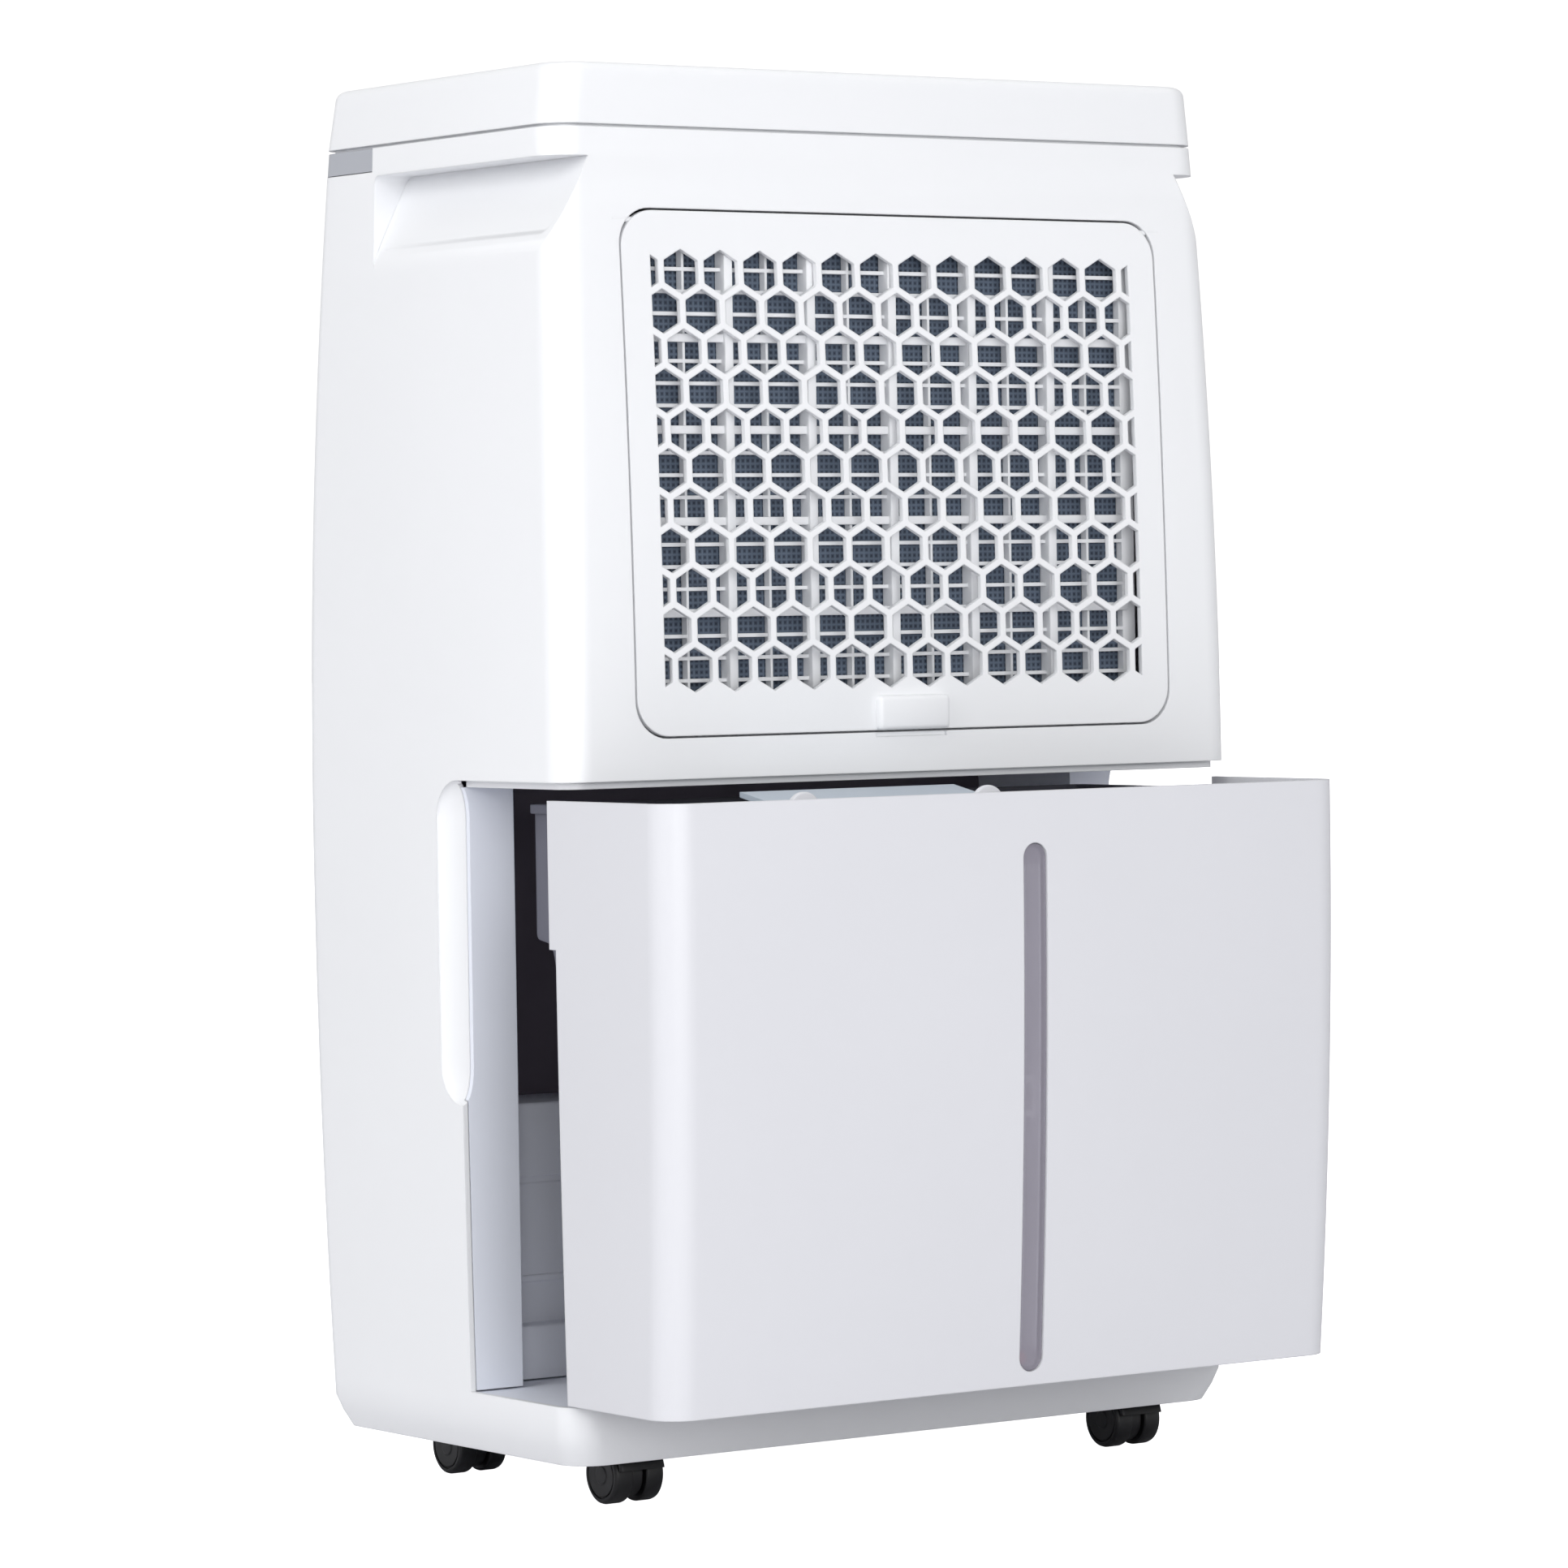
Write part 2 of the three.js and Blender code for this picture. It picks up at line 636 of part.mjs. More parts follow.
// Wall behind the bucket: it leans back to clear the sloped tank, and covers the compressor.
const bulkheadFront = bayMouthY + 33;
const pumpWidth = 92;
const pumpRight = -bayHalf + 1 + pumpWidth;
const tankBackTop = bayMouthY + 65;
const bulkheadBack = tankBackTop + 5;

function makeBulkhead() {
  const foot = bayFloorZ + 0.3;
  const roof = bayRoofZ - fitGap + 0.3;
  const reach = bulkheadBack + sheet;
  const face = [
    [reach, foot], [reach, roof], [bulkheadBack, roof], [bulkheadBack, stepZ - 5.2],
    [bulkheadFront + 18, stepZ - 14.2], [bulkheadFront, stepZ - 82.2], [bulkheadFront, foot],
  ];
  const inner = [
    [reach + 1, foot - 1], [reach + 1, roof - 30], [reach - 0.01, roof - 30], [reach - 0.01, stepZ - 8.2],
    [bulkheadFront + 20.4, stepZ - 16.2], [bulkheadFront + sheet, stepZ - 83.2], [bulkheadFront + sheet, foot - 1],
  ];
  const left = pumpRight + 1.5;
  const right = bayHalf - fitGap;
  const cover = prism(polygon([...face].reverse()), 'x', left, right)
    .subtract(prism(polygon([...inner].reverse()), 'x', left + sheet, right - sheet));
  return join(cover, box(-right, left + 1, bulkheadBack, reach, foot, roof));
}

function makePumpHousing() {
  const left = -bayHalf + 1;
  const back = bulkheadBack - 0.5;
  const top = stepZ - 74.5;
  const seam = stepZ - 108.5;
  const front = bulkheadFront - 6;
  const low = box(left, pumpRight, front, back, bayFloorZ + 0.3, seam);
  const high = box(left, pumpRight, front + 0.6, back, seam - 0.1, seam + 1);
  const cap = box(left, pumpRight, front, back, seam + 0.9, top);
  const hollow = box(left + sheet, pumpRight - sheet, front + sheet + 1, back - sheet, 0, top - sheet);
  const foot = box(left, left + 40, front - 9, front + 1, bayFloorZ + 0.3, bayFloorZ + 24);
  return join(low, high, cap).subtract(hollow).add(foot);
}

// ---------------------------------------------------------------- bucket, drawn as if pushed home

const tankHalf = bayHalf - tankGap;
const tankFront = -bellyRear + tankFrontSetback;
const tankFoot = bayFloorZ + 4;
const tankTop = bucketTop - 3.5;
const tankBendZ = stepZ - 91.5;

const tankOutline = [
  [tankFront, tankFoot], [bayMouthY + 17, tankFoot], [bayMouthY + 17, tankBendZ],
  [bayMouthY + 37, stepZ - 36], [bayMouthY + 50, stepZ - 2], [tankBackTop, stepZ], [tankBackTop, tankTop],
  [tankFront, tankTop],
];

function makeTank() {
  const inner = insetOutline(tankOutline, tankWall).map(([y, z]) => [y, z > tankTop - 10 ? tankTop + 5 : z]);
  const hollow = prism(polygon(inner), 'x', -tankHalf + tankWall, tankHalf - tankWall);
  const rimOutline = [
    [tankFront, tankTop - 4], [tankBackTop, tankTop - 4], [tankBackTop, tankTop], [tankFront, tankTop],
  ];
  const rim = prism(polygon(rimOutline), 'x', -tankHalf - 2.4, tankHalf + 2.4);
  const tank = prism(polygon(tankOutline), 'x', -tankHalf, tankHalf).add(rim).subtract(hollow);
  const pins = rod('x', bailY, bailZ, -tankHalf - 1, tankHalf + 1, bailPinRadius + 0.1, 16);
  const floatPins = rod('x', floatHingeY, floatHingeZ, floatX - 16, floatX + 16, 1.6, 12);
  const floatLugs = [floatX - 15, floatX + 13].map((x) => (
    box(x, x + 2, floatHingeY - 4, tankBackTop - 1, floatHingeZ - 4, floatHingeZ + 4)
  ));
  return join(tank, ...floatLugs).subtract(pins).subtract(floatPins);
}

function makeBucketFront() {
  const levels = levelsBetween(bucketFoot, bucketTop);
  const outside = loft(bucketProfile, levels, 0);
  const inside = loft(bucketProfile, [bucketFoot - 1, ...levels.slice(1, -1), bucketTop + 1], wall);
  const wingEnd = bayMouthY - panelGap * 0.5;
  const panel = outside.subtract(inside);
  const low = slab(wide, -wide, wingEnd, bucketFoot, stepZ);
  const high = slab(wide, -wide, wingEnd + wingNotchDepth, stepZ - 1, bucketTop);
  let shape = panel.intersect(join(low, high));
  const ribX = [-112, -58, 74, 122];
  for (const x of ribX) {
    const rib = box(x - 1.2, x + 1.2, -wide, tankFront - fitGap, bucketFoot + 12, bucketTop - 16);
    shape = shape.add(rib.intersect(loft(bucketProfile, levels, wall - 0.2)));
  }
  const windowZ0 = bucketFoot + windowFoot;
  const slot = roundedRectangle(
    windowX - windowWidth / 2, windowX + windowWidth / 2, windowZ0, windowZ0 + windowLength, windowWidth / 2 - 0.01,
  );
  return shape.subtract(prism(slot, 'y', -wide, tankFront));
}

const windowZ0 = bucketFoot + windowFoot;
const windowZ1 = windowZ0 + windowLength;
const lensWall = 1.4;

function makeLens() {
  const half = windowWidth / 2 - fitGap;
  const z0 = windowZ0 + fitGap;
  const z1 = windowZ1 - fitGap;
  const outline = roundedRectangle(windowX - half, windowX + half, z0, z1, half - 0.01);
  const back = tankFront - fitGap;
  const face = loft(bucketProfile, levelsBetween(bucketFoot, bucketTop), 0.9);
  const channelFace = loft(bucketProfile, levelsBetween(bucketFoot, bucketTop), 0.9 + lensWall);
  const channelHalf = half - lensWall;
  const channel = roundedRectangle(
    windowX - channelHalf, windowX + channelHalf, z0 + lensWall, z1 - lensWall, channelHalf - 0.01,
  );
  const hollow = prism(channel, 'y', -wide, back + 1).intersect(channelFace);
  const lens = prism(outline, 'y', -wide, back).intersect(face).subtract(hollow);
  const clipZ = windowZ0 + windowLength * 0.52;
  const clip = box(windowX - half, windowX - half + 2.2, back - 5, back, clipZ - 9, clipZ + 9);
  return join(lens, clip);
}

const ballZ = windowZ0 + fitGap + lensWall + ballRadius + 0.4;
const ballY = tankFront - fitGap - ballRadius - 0.5;
const coverX0 = windowX - 112;
const coverX1 = windowX + 1;

function makeBucketCover() {
  const front = tankFront + tankWall + fitGap;
  const back = front + 37;
  const top = tankTop + 1.5;
  const plate = polygon([[front, top - 5], [back, top - 2], [back, top], [front, top - 3]]);
  const cover = prism(plate, 'x', coverX0, coverX1);
  const walls = [coverX0, coverX1 - 2].map((x) => box(x, x + 2, front, back, top - 34, top - 2.6));
  const lugs = [coverX0 + 8, coverX1 - 8].map((x) => (
    rod('y', x, top - 4, front, front + 3, 8.3, 24)
  ));
  return join(cover, ...walls, ...lugs);
}

const bailPinRadius = 3;
const bailReach = 42;
const bailY = tankFront + 8;
const bailZ = tankTop - 12;

function makeBail() {
  const armX = tankHalf - tankWall - 0.5;
  const arms = sides.map((side) => {
    const from = side > 0 ? armX - 3 : -armX;
    const arm = box(from, from + 3, bailY, bailY + bailReach, bailZ - 3.5, bailZ + 3.5);
    const eye = rod('x', bailY, bailZ, from, from + 3, 5, 20);
    const pinFrom = side > 0 ? armX - 1 : -armX - tankWall - 0.3;
    const pin = rod('x', bailY, bailZ, pinFrom, pinFrom + tankWall + 1.3, bailPinRadius, 16);
    return join(arm, eye, pin);
  });
  const grip = box(-armX, armX, bailY + bailReach - 4, bailY + bailReach + 4, bailZ - 3.5, bailZ + 3.5);
  return join(grip, ...arms);
}

const floatX = 74;
const floatHingeY = tankBackTop - 8;
const floatHingeZ = tankTop - 9;

function makeFloat() {
  const arm = box(floatX - 4, floatX + 4, floatHingeY - 36, floatHingeY, floatHingeZ - 2, floatHingeZ + 2);
  const pin = rod('x', floatHingeY, floatHingeZ, floatX - 14.6, floatX + 14.6, 1.5, 12);
  const foam = box(floatX - 18, floatX + 18, floatHingeY - 52, floatHingeY - 30, floatHingeZ - 14, floatHingeZ + 1);
  return join(arm, pin, foam);
}

// ---------------------------------------------------------------- filter door

function makeDoor() {
  const half = doorWidth / 2 - doorGap / 2;
  const foot = doorFoot + doorGap / 2;
  const top = doorTop - doorGap / 2;
  const reach = prism(roundedRectangle(-half, half, foot, top, doorCorner - doorGap), 'y', -wide, doorWellBack + 8, 6);
  const flat = [foot - 5, top + 5];
  const shell = loft(cabinetProfile, flat, 0).subtract(loft(cabinetProfile, flat, wall)).intersect(reach);
  const hexRadius = (hexPitch - hexRib) / Math.sqrt(3);
  const hole = rod('y', 0, 0, -bellyRear - 5, doorWellBack + 8, hexRadius, 6).scale([1, 1, hexSquash]);
  const holes = [];
  for (let row = 0; row < hexRows; row += 1) {
    const shifted = row % 2 === 1;
    const count = shifted ? hexColumns - 1 : hexColumns;
    const z = doorMiddle + 1 + (row - (hexRows - 1) / 2) * hexRowPitch;
    for (let i = 0; i < count; i += 1) {
      const x = (i - (count - 1) / 2) * hexPitch;
      holes.push(hole.translate([x, 0, z]));
    }
  }
  const field = box(-fieldWidth / 2, fieldWidth / 2, -wide, 0, 0, height);
  const honeycomb = wasm.Manifold.union(holes).intersect(field);
  const tabFoot = foot;
  const tab = roundedRectangle(-tabWidth / 2, tabWidth / 2, tabFoot, tabFoot + tabHeight, 3);
  const rearAt = cabinetProfile(tabFoot + 5).rear;
  const tabBlock = prism(tab, 'y', -rearAt - 3.4, -rearAt + 2);
  const tabShadow = slab(tabWidth / 2 + 2, -wide, 0, 0, tabFoot + tabHeight + 1.5);
  let door = shell.subtract(honeycomb.subtract(tabShadow)).add(tabBlock);
  for (const side of sides) {
    const pinFrom = side > 0 ? half - 9 : 1.6 - half;
    const lugFrom = side > 0 ? half - 13 : 7.6 - half;
    door = door.add(rod('x', hingeY, hingeZ, pinFrom, pinFrom + 7.4, hingePinRadius, 12));
    door = door.add(box(lugFrom, lugFrom + 5.4, hingeY - 1, hingeY + 2.4, hingeZ - 3, hingeZ + 1.2));
  }
  return door;
}

const filterFront = -bellyRear + 12.9;
const filterHalf = doorWidth / 2 - 9;
const filterFoot = doorFoot + 8;
const filterTop = doorTop - 9.5;

function makeFilterFrame() {
  const outline = roundedRectangle(-filterHalf, filterHalf, filterFoot, filterTop, 9);
  const back = filterFront + filterThickness;
  const border = 7;
  const upright = 4.4;
  const bar = 3;
  const cellWidth = (filterHalf * 2 - border * 2 + upright) / filterColumns;
  const cellHeight = (filterTop - filterFoot - border * 2 + bar) / filterRows;
  const cells = [];
  for (let column = 0; column < filterColumns; column += 1) {
    for (let row = 0; row < filterRows; row += 1) {
      const x = -filterHalf + border + column * cellWidth;
      const z = filterFoot + border + row * cellHeight;
      cells.push(box(x, x + cellWidth - upright, filterFront - 1, back + 1, z, z + cellHeight - bar));
    }
  }
  return prism(outline, 'y', filterFront, back).subtract(wasm.Manifold.union(cells));
}

function makeFilterMesh() {
  const front = filterFront + filterThickness + 0.3;
  return slab(filterHalf - 2, front, front + meshThickness, filterFoot + 2, filterTop - 2);
}

// ---------------------------------------------------------------- air path

const coilFoot = splitZ + 11;
const evaporatorY = -bellyRear + 24.5;
const condenserY = evaporatorY + coilDepth + coilGap;
const shroudY = condenserY + coilDepth + 8;
const blowerZ = coilFoot + coilHeight / 2;
const scrollFront = shroudY + sheet + fitGap;
const trayTop = coilFoot + 14;
const spoutX = -45;
const spoutY = evaporatorY + 28;
const spoutRadius = 5;

function makeCoil(front) {
  const back = front + coilDepth;
  const half = coilWidth / 2;
  const fins = slab(half, front, back, coilFoot + 1, coilFoot + coilHeight - 1);
  const plates = sides.map((side) => {
    const x = side * half;
    return box(x - 0.8, x + 0.8, front - 1.2, back + 1.2, coilFoot, coilFoot + coilHeight);
  });
  const bends = [];
  for (let i = 0; i < bendCount; i += 1) {
    const z = coilFoot + coilHeight * (i + 0.5) / bendCount;
    const arch = new THREE.TorusGeometry(8, tubeRadius, 5, 8).rotateY(Math.PI / 2);
    bends.push(solid(arch.translate(half - 6, (front + back) / 2, z)));
  }
  return join(fins, ...plates, ...bends);
}

function makeDripTray() {
  const front = evaporatorY - 4.5;
  const back = condenserY + coilDepth + 4.5;
  const half = coilWidth / 2 + 17;
  const foot = splitZ + 5.5;
  const outer = slab(half, front, back, foot, trayTop);
  const inner = slab(half - 2, front + 2, back - 2, foot + 2.5, trayTop + 1);
  const seats = [-90, 0, 90].map((x) => box(x - 4, x + 4, front + 1, back - 1, foot + 2, coilFoot - 0.3));
  const spout = rod('z', spoutX, spoutY, bayRoofZ - 0.6, foot + 1, spoutRadius);
  const drain = rod('z', spoutX, spoutY, bayRoofZ - 3, trayTop, spoutRadius - 1.6);
  return join(outer.subtract(inner), ...seats, spout).subtract(drain);
}

function makeShroud() {
  const half = coilWidth / 2 + 8;
  const top = cabinetTop - 12;
  const plate = slab(half, shroudY, shroudY + sheet, splitZ + 5.5, top);
  const bell = rod('y', 0, blowerZ, shroudY - 5, shroudY + 1, blowerRadius - 2, 32);
  const mouth = rod('y', 0, blowerZ, shroudY - 8, shroudY + 8, blowerRadius - 5, 32);
  return join(plate, bell).subtract(mouth);
}

function makeScroll() {
  const back = scrollFront + scrollLength;
  const top = cabinetTop - 10;
  const outline = (radius, reach) => {
    const round = rod('y', 0, blowerZ, scrollFront, reach, radius, 32);
    const duct = box(-radius, radius * 0.62, scrollFront, reach, blowerZ, top + (reach > back ? 5 : 0));
    return join(round, duct);
  };
  const outer = outline(scrollRadius, back);
  const inner = outline(scrollRadius - sheet, back + 1).translate([0, -sheet - 1.01, 0]);
  const hole = rod('y', 0, blowerZ, back - 6, back + 3, 20);
  const open = box(-scrollRadius + sheet, (scrollRadius - sheet) * 0.62, scrollFront - 1, back - sheet, top - 20, top + 5);
  return outer.subtract(inner).subtract(hole).subtract(open);
}

const blowerFront = scrollFront + 4;
const blowerBack = blowerFront + blowerLength;

function makeBlower() {
  const disc = rod('y', 0, blowerZ, blowerBack - 2.5, blowerBack, blowerRadius, 24);
  const ring = rod('y', 0, blowerZ, blowerFront, blowerFront + 3, blowerRadius, 24)
    .subtract(rod('y', 0, blowerZ, blowerFront - 1, blowerFront + 4, blowerRadius - 11, 24));
  const hub = rod('y', 0, blowerZ, blowerBack - 22, blowerBack - 1, 12);
  const blades = [];
  for (let i = 0; i < bladeCount; i += 1) {
    const turn = i / bladeCount * Math.PI * 2;
    const blade = new THREE.BoxGeometry(10, blowerLength - 3, 1.4);
    blade.rotateY(0.6).translate(blowerRadius - 5.8, 0, 0).rotateY(turn);
    blade.translate(0, blowerFront + blowerLength / 2, blowerZ);
    blades.push(solid(blade));
  }
  return join(disc, ring, hub, ...blades).subtract(rod('y', 0, blowerZ, blowerBack - 30, blowerBack + 1, 4.1, 16));
}

const motorFront = scrollFront + scrollLength + fitGap;

function makeMotor() {
  const can = rod('y', 0, blowerZ, motorFront, motorFront + 30, 36);
  const cap = rod('y', 0, blowerZ, motorFront + 29.9, motorFront + 37, 16);
  const boss = rod('y', 0, blowerZ, motorFront - sheet - 1, motorFront + 1, 14);
  const shaft = rod('y', 0, blowerZ, blowerBack - 20, motorFront + 1, 4, 16);
  return join(can, cap, boss, shaft);
}

// ---------------------------------------------------------------- refrigeration

const compressorX = bayHalf - 74.5;
const compressorY = bellyFront - 49.5;
const compressorFoot = bayFloorZ + 6.5;

function makeCompressor() {
  const shoulder = 26;
  const bodyFoot = compressorFoot + 8;
  const bodyTop = compressorFoot + compressorHeight - shoulder;
  const profile = [new THREE.Vector2(0, compressorFoot), new THREE.Vector2(compressorRadius - 8, compressorFoot)];
  profile.push(new THREE.Vector2(compressorRadius, bodyFoot), new THREE.Vector2(compressorRadius, bodyTop));
  const steps = 4;
  for (let i = 1; i < steps; i += 1) {
    const t = i / steps * Math.PI / 2;
    profile.push(new THREE.Vector2(compressorRadius * Math.cos(t), bodyTop + shoulder * Math.sin(t)));
  }
  profile.push(new THREE.Vector2(0, bodyTop + shoulder));
  const can = new THREE.LatheGeometry(profile, 20);
  can.rotateX(Math.PI / 2);
  can.translate(compressorX, compressorY, 0);
  return solid(can);
}

const accumulatorX = compressorX + compressorRadius + accumulatorRadius + 1.5;
const accumulatorY = compressorY + 8;
const accumulatorTop = compressorFoot + 96;

function makeAccumulator() {
  const can = rod('z', accumulatorX, accumulatorY, compressorFoot + 26, accumulatorTop, accumulatorRadius, 14);
  const dome = ball(accumulatorX, accumulatorY, accumulatorTop, accumulatorRadius, accumulatorRadius, 7, 5);
  const base = ball(accumulatorX, accumulatorY, compressorFoot + 26, accumulatorRadius, accumulatorRadius, 7, 5);
  return join(can, dome, base);
}

function makeBracket() {
  const foot = bayFloorZ;
  const radius = compressorRadius - 9;
  const plate = rod('z', compressorX, compressorY, foot + 3, foot + 6.1, radius + 8, 3);
  const feet = [];
  for (let i = 0; i < 3; i += 1) {
    const turn = i / 3 * Math.PI * 2 + Math.PI / 6;
    const x = compressorX + Math.cos(turn) * (radius - 8);
    const y = compressorY + Math.sin(turn) * (radius - 8);
    feet.push(rod('z', x, y, foot, foot + 5.5, 7, 16));
  }
  return join(plate, ...feet);
}

// Round tube through points, with a section of eight sides.
function tube(points, steps = 14) {
  const route = new THREE.CatmullRomCurve3(points.map((p) => new THREE.Vector3(...p)), false, 'centripetal');
  const section = new THREE.Shape();
  section.absarc(0, 0, tubeRadius, 0, Math.PI * 2);
  return new THREE.ExtrudeGeometry(section, { steps, extrudePath: route, curveSegments: 4 });
}

const coilEnd = coilWidth / 2 + 4.5;

function makeDischargeTube() {
  const top = compressorFoot + compressorHeight + 0.4;
  return tube([
    [compressorX, compressorY, top], [compressorX, compressorY + 3, top + 22], [compressorX + 40, compressorY + 11, top + 50],
    [coilEnd + 14, compressorY + 7, top + 120], [coilEnd + 14, compressorY - 29, top + 190], [coilEnd + 13, condenserY + 8, top + 214],
    [coilEnd + 9, condenserY + 10, top + 215],
  ]);
}

function makeSuctionTube() {
  const top = accumulatorTop + 7.4;
  return tube([
    [accumulatorX, accumulatorY, top], [accumulatorX + 4, accumulatorY, top + 20], [accumulatorX + 12, compressorY + 13, top + 80],
    [coilEnd + 24, compressorY + 15, top + 150], [coilEnd + 24, compressorY - 49, top + 214], [coilEnd + 20, evaporatorY + 14, top + 226],
    [coilEnd + 9, evaporatorY + 10, top + 226],
  ]);
}

function makeDrier() {
  const x = coilEnd + 13;
  const y = condenserY + 22;
  const z = coilFoot + coilHeight - 70;
  const can = rod('z', x, y, z, z + 46, 6.5, 10);
  const low = rod('z', x, y, z - 12, z + 0.1, 3, 10, 6.5);
  const high = rod('z', x, y, z + 45.9, z + 58, 6.5, 10, 3);
  return join(can, low, high);
}

// ---------------------------------------------------------------- electrics and plumbing

function makeControlBox() {
  const z0 = cabinetTop - 96;
  const left = -bellyHalfWidth + 49.5;
  const outer = box(left, left + 86, motorFront + 4, motorFront + 38, z0, cabinetTop - 20);
  const inner = box(left + 2, left + 84, motorFront + 6, motorFront + 36, z0 + 2, cabinetTop);
  return outer.subtract(inner);
}

function makeControlBoard() {
  return slab(panelWidth / 2 - 8, panelY - 16, panelY + 16, boardTop - 1.6, boardTop - 0.1);
}

function makeHumiditySensor() {
  const x = coilWidth / 2 - 20;
  const body = box(x, x + 16, shroudY + sheet + fitGap, shroudY + sheet + 8, cabinetTop - 60, cabinetTop - 36);
  const probe = box(x + 5, x + 11, shroudY + sheet + 7.9, shroudY + sheet + 11, cabinetTop - 54, cabinetTop - 42);
  return join(body, probe);
}

function makeBucketSwitch() {
  const y = bulkheadBack - fitGap;
  const x = bayHalf - 48.5;
  const body = box(x, x + 22, y - 3.2, y, bayRoofZ - 48, bayRoofZ - 30);
  return join(body, box(x + 6, x + 16, y - 4.2, y - 3.1, bayRoofZ - 42, bayRoofZ - 36));
}

function makeDrainOutlet() {
  const edge = cabinetProfile(drainZ).side;
  const pipe = rod('x', drainY, drainZ, edge - drainWellDepth - 12, edge - 3, 7);
  return pipe.subtract(rod('x', drainY, drainZ, edge - 60, edge, 5));
}

function makeDrainCap() {
  const edge = cabinetProfile(drainZ).side;
  const outer = rod('x', drainY, drainZ, edge - drainWellDepth + 0.4, edge - 0.8, 11.5, 16);
  return outer.subtract(rod('x', drainY, drainZ, edge - drainWellDepth, edge - 2.6, 7 + fitGap));
}

function makeCordInlet() {
  const edge = cabinetProfile(cordZ).side;
  const neck = rod('x', cordY, cordZ, edge - 6, edge + 1.2, cordHoleRadius, 24);
  const flange = rod('x', cordY, cordZ, edge - 6, edge - wall - fitGap, cordHoleRadius + 3, 24);
  return join(neck, flange).subtract(rod('x', cordY, cordZ, edge - 20, edge + 5, 4));
}

// ---------------------------------------------------------------- castors, drawn with the stem at the origin

const webWidth = castorWidth - 2 * wheelWidth - 2 * runGap;
const axleRadius = 2;

function makeCastorFork() {
  const wheelY = -castorTrail;
  const half = webWidth / 2;
  const web = rod('x', wheelY, wheelRadius, -half, half, wheelRadius - 2.2, 20);
  const neckTop = creaseZ - 8;
  const neck = box(-half, half, wheelY, 3.5, wheelRadius, neckTop);
  const stem = rod('z', 0, 0, neckTop - 1, stemTop, stemRadius, 12);
  const hoodReach = castorWidth / 2 - 1.2;
  const hoodOuter = rod('x', wheelY, wheelRadius, -hoodReach, hoodReach, wheelRadius + 2.8, 20);
  const hoodInner = rod('x', wheelY, wheelRadius, -hoodReach - 1, hoodReach + 1, wheelRadius + 0.9, 20);
  const above = box(-30, 30, -40, 30, wheelRadius + 3, 40);
  const hood = hoodOuter.subtract(hoodInner).intersect(above);
  const axle = rod('x', wheelY, wheelRadius, -castorWidth / 2 + 2, castorWidth / 2 - 2, axleRadius, 10);
  return join(web, neck, stem, hood, axle);
}

function makeWheel(side) {
  const inner = side * (webWidth / 2 + runGap);
  const outer = side * castorWidth / 2;
  const low = Math.min(inner, outer);
  const high = Math.max(inner, outer);
  const tread = rod('x', 0, 0, low, high, wheelRadius, 24);
  const bore = side > 0 ? [low - 1, high - 1.5] : [low + 1.5, high + 1];
  return tread.subtract(rod('x', 0, 0, ...bore, axleRadius + turnGap, 10));
}

// ---------------------------------------------------------------- assembly

const model = new THREE.Group();
const machine = new THREE.Group();
const bucket = new THREE.Group();
model.add(machine);
machine.add(bucket);
bucket.position.y = -bucketDrawn;

function add(parent, name, shape, material) {
  const geometry = shape instanceof THREE.BufferGeometry ? shape : geometryOf(shape);
  const mesh = new THREE.Mesh(geometry, material);
  mesh.name = name;
  parent.add(mesh);
  return mesh;
}

add(machine, 'cabinet', makeCabinet(), white);
add(machine, 'front_panel', makeFrontPanel(), white);
add(machine, 'accent_band', makeAccentBand(), silver);
add(machine, 'base_pan', makeBasePan(), liner);
add(machine, 'top_lid', makeLid(), white);
add(machine, 'exhaust_grille', makeGrille(), silver);
add(machine, 'control_panel', makePanel(), black);
add(machine, 'display_window', makeDisplay(), smoke);
add(machine, 'control_board', makeControlBoard(), boardGreen);
for (const { name, x } of buttonPlaces) {
  add(machine, name, makeButton(), silver).position.set(x, panelY, 0);
}

add(machine, 'bay_liner', makeBayLiner(), liner);
add(machine, 'bulkhead', makeBulkhead(), charcoal);
add(machine, 'pump_housing', makePumpHousing(), liner);
add(machine, 'bucket_switch', makeBucketSwitch(), black);

add(bucket, 'bucket_front', makeBucketFront(), white);
add(bucket, 'bucket_tank', makeTank(), tankGrey);
add(bucket, 'window_lens', makeLens(), smoke);
add(bucket, 'bucket_cover', makeBucketCover(), liner);
add(bucket, 'bucket_handle', makeBail(), liner);
add(bucket, 'bucket_float', makeFloat(), white);
add(bucket, 'level_ball', ball(windowX, ballY, ballZ, ballRadius, ballRadius, ballRadius, 8), red);

add(machine, 'filter_door', makeDoor(), white);
add(machine, 'air_filter', makeFilterFrame(), white);
add(machine, 'filter_mesh', makeFilterMesh(), meshBlue);

add(machine, 'evaporator', makeCoil(evaporatorY), aluminium);
add(machine, 'condenser', makeCoil(condenserY), aluminium);
add(machine, 'drip_tray', makeDripTray(), white);
add(machine, 'fan_shroud', makeShroud(), black);
add(machine, 'fan_scroll', makeScroll(), black);
add(machine, 'blower_wheel', makeBlower(), black);
add(machine, 'fan_motor', makeMotor(), zincSteel);

add(machine, 'compressor', makeCompressor(), darkSteel);
add(machine, 'compressor_bracket', makeBracket(), zincSteel);
add(machine, 'accumulator', makeAccumulator(), darkSteel);
add(machine, 'discharge_tube', makeDischargeTube(), copper);
add(machine, 'suction_tube', makeSuctionTube(), copper);
add(machine, 'filter_drier', makeDrier(), copper);

add(machine, 'control_box', makeControlBox(), black);
add(machine, 'humidity_sensor', makeHumiditySensor(), white);
add(machine, 'drain_outlet', makeDrainOutlet(), white);
add(machine, 'drain_cap', makeDrainCap(), liner);
add(machine, 'cord_inlet', makeCordInlet(), black);

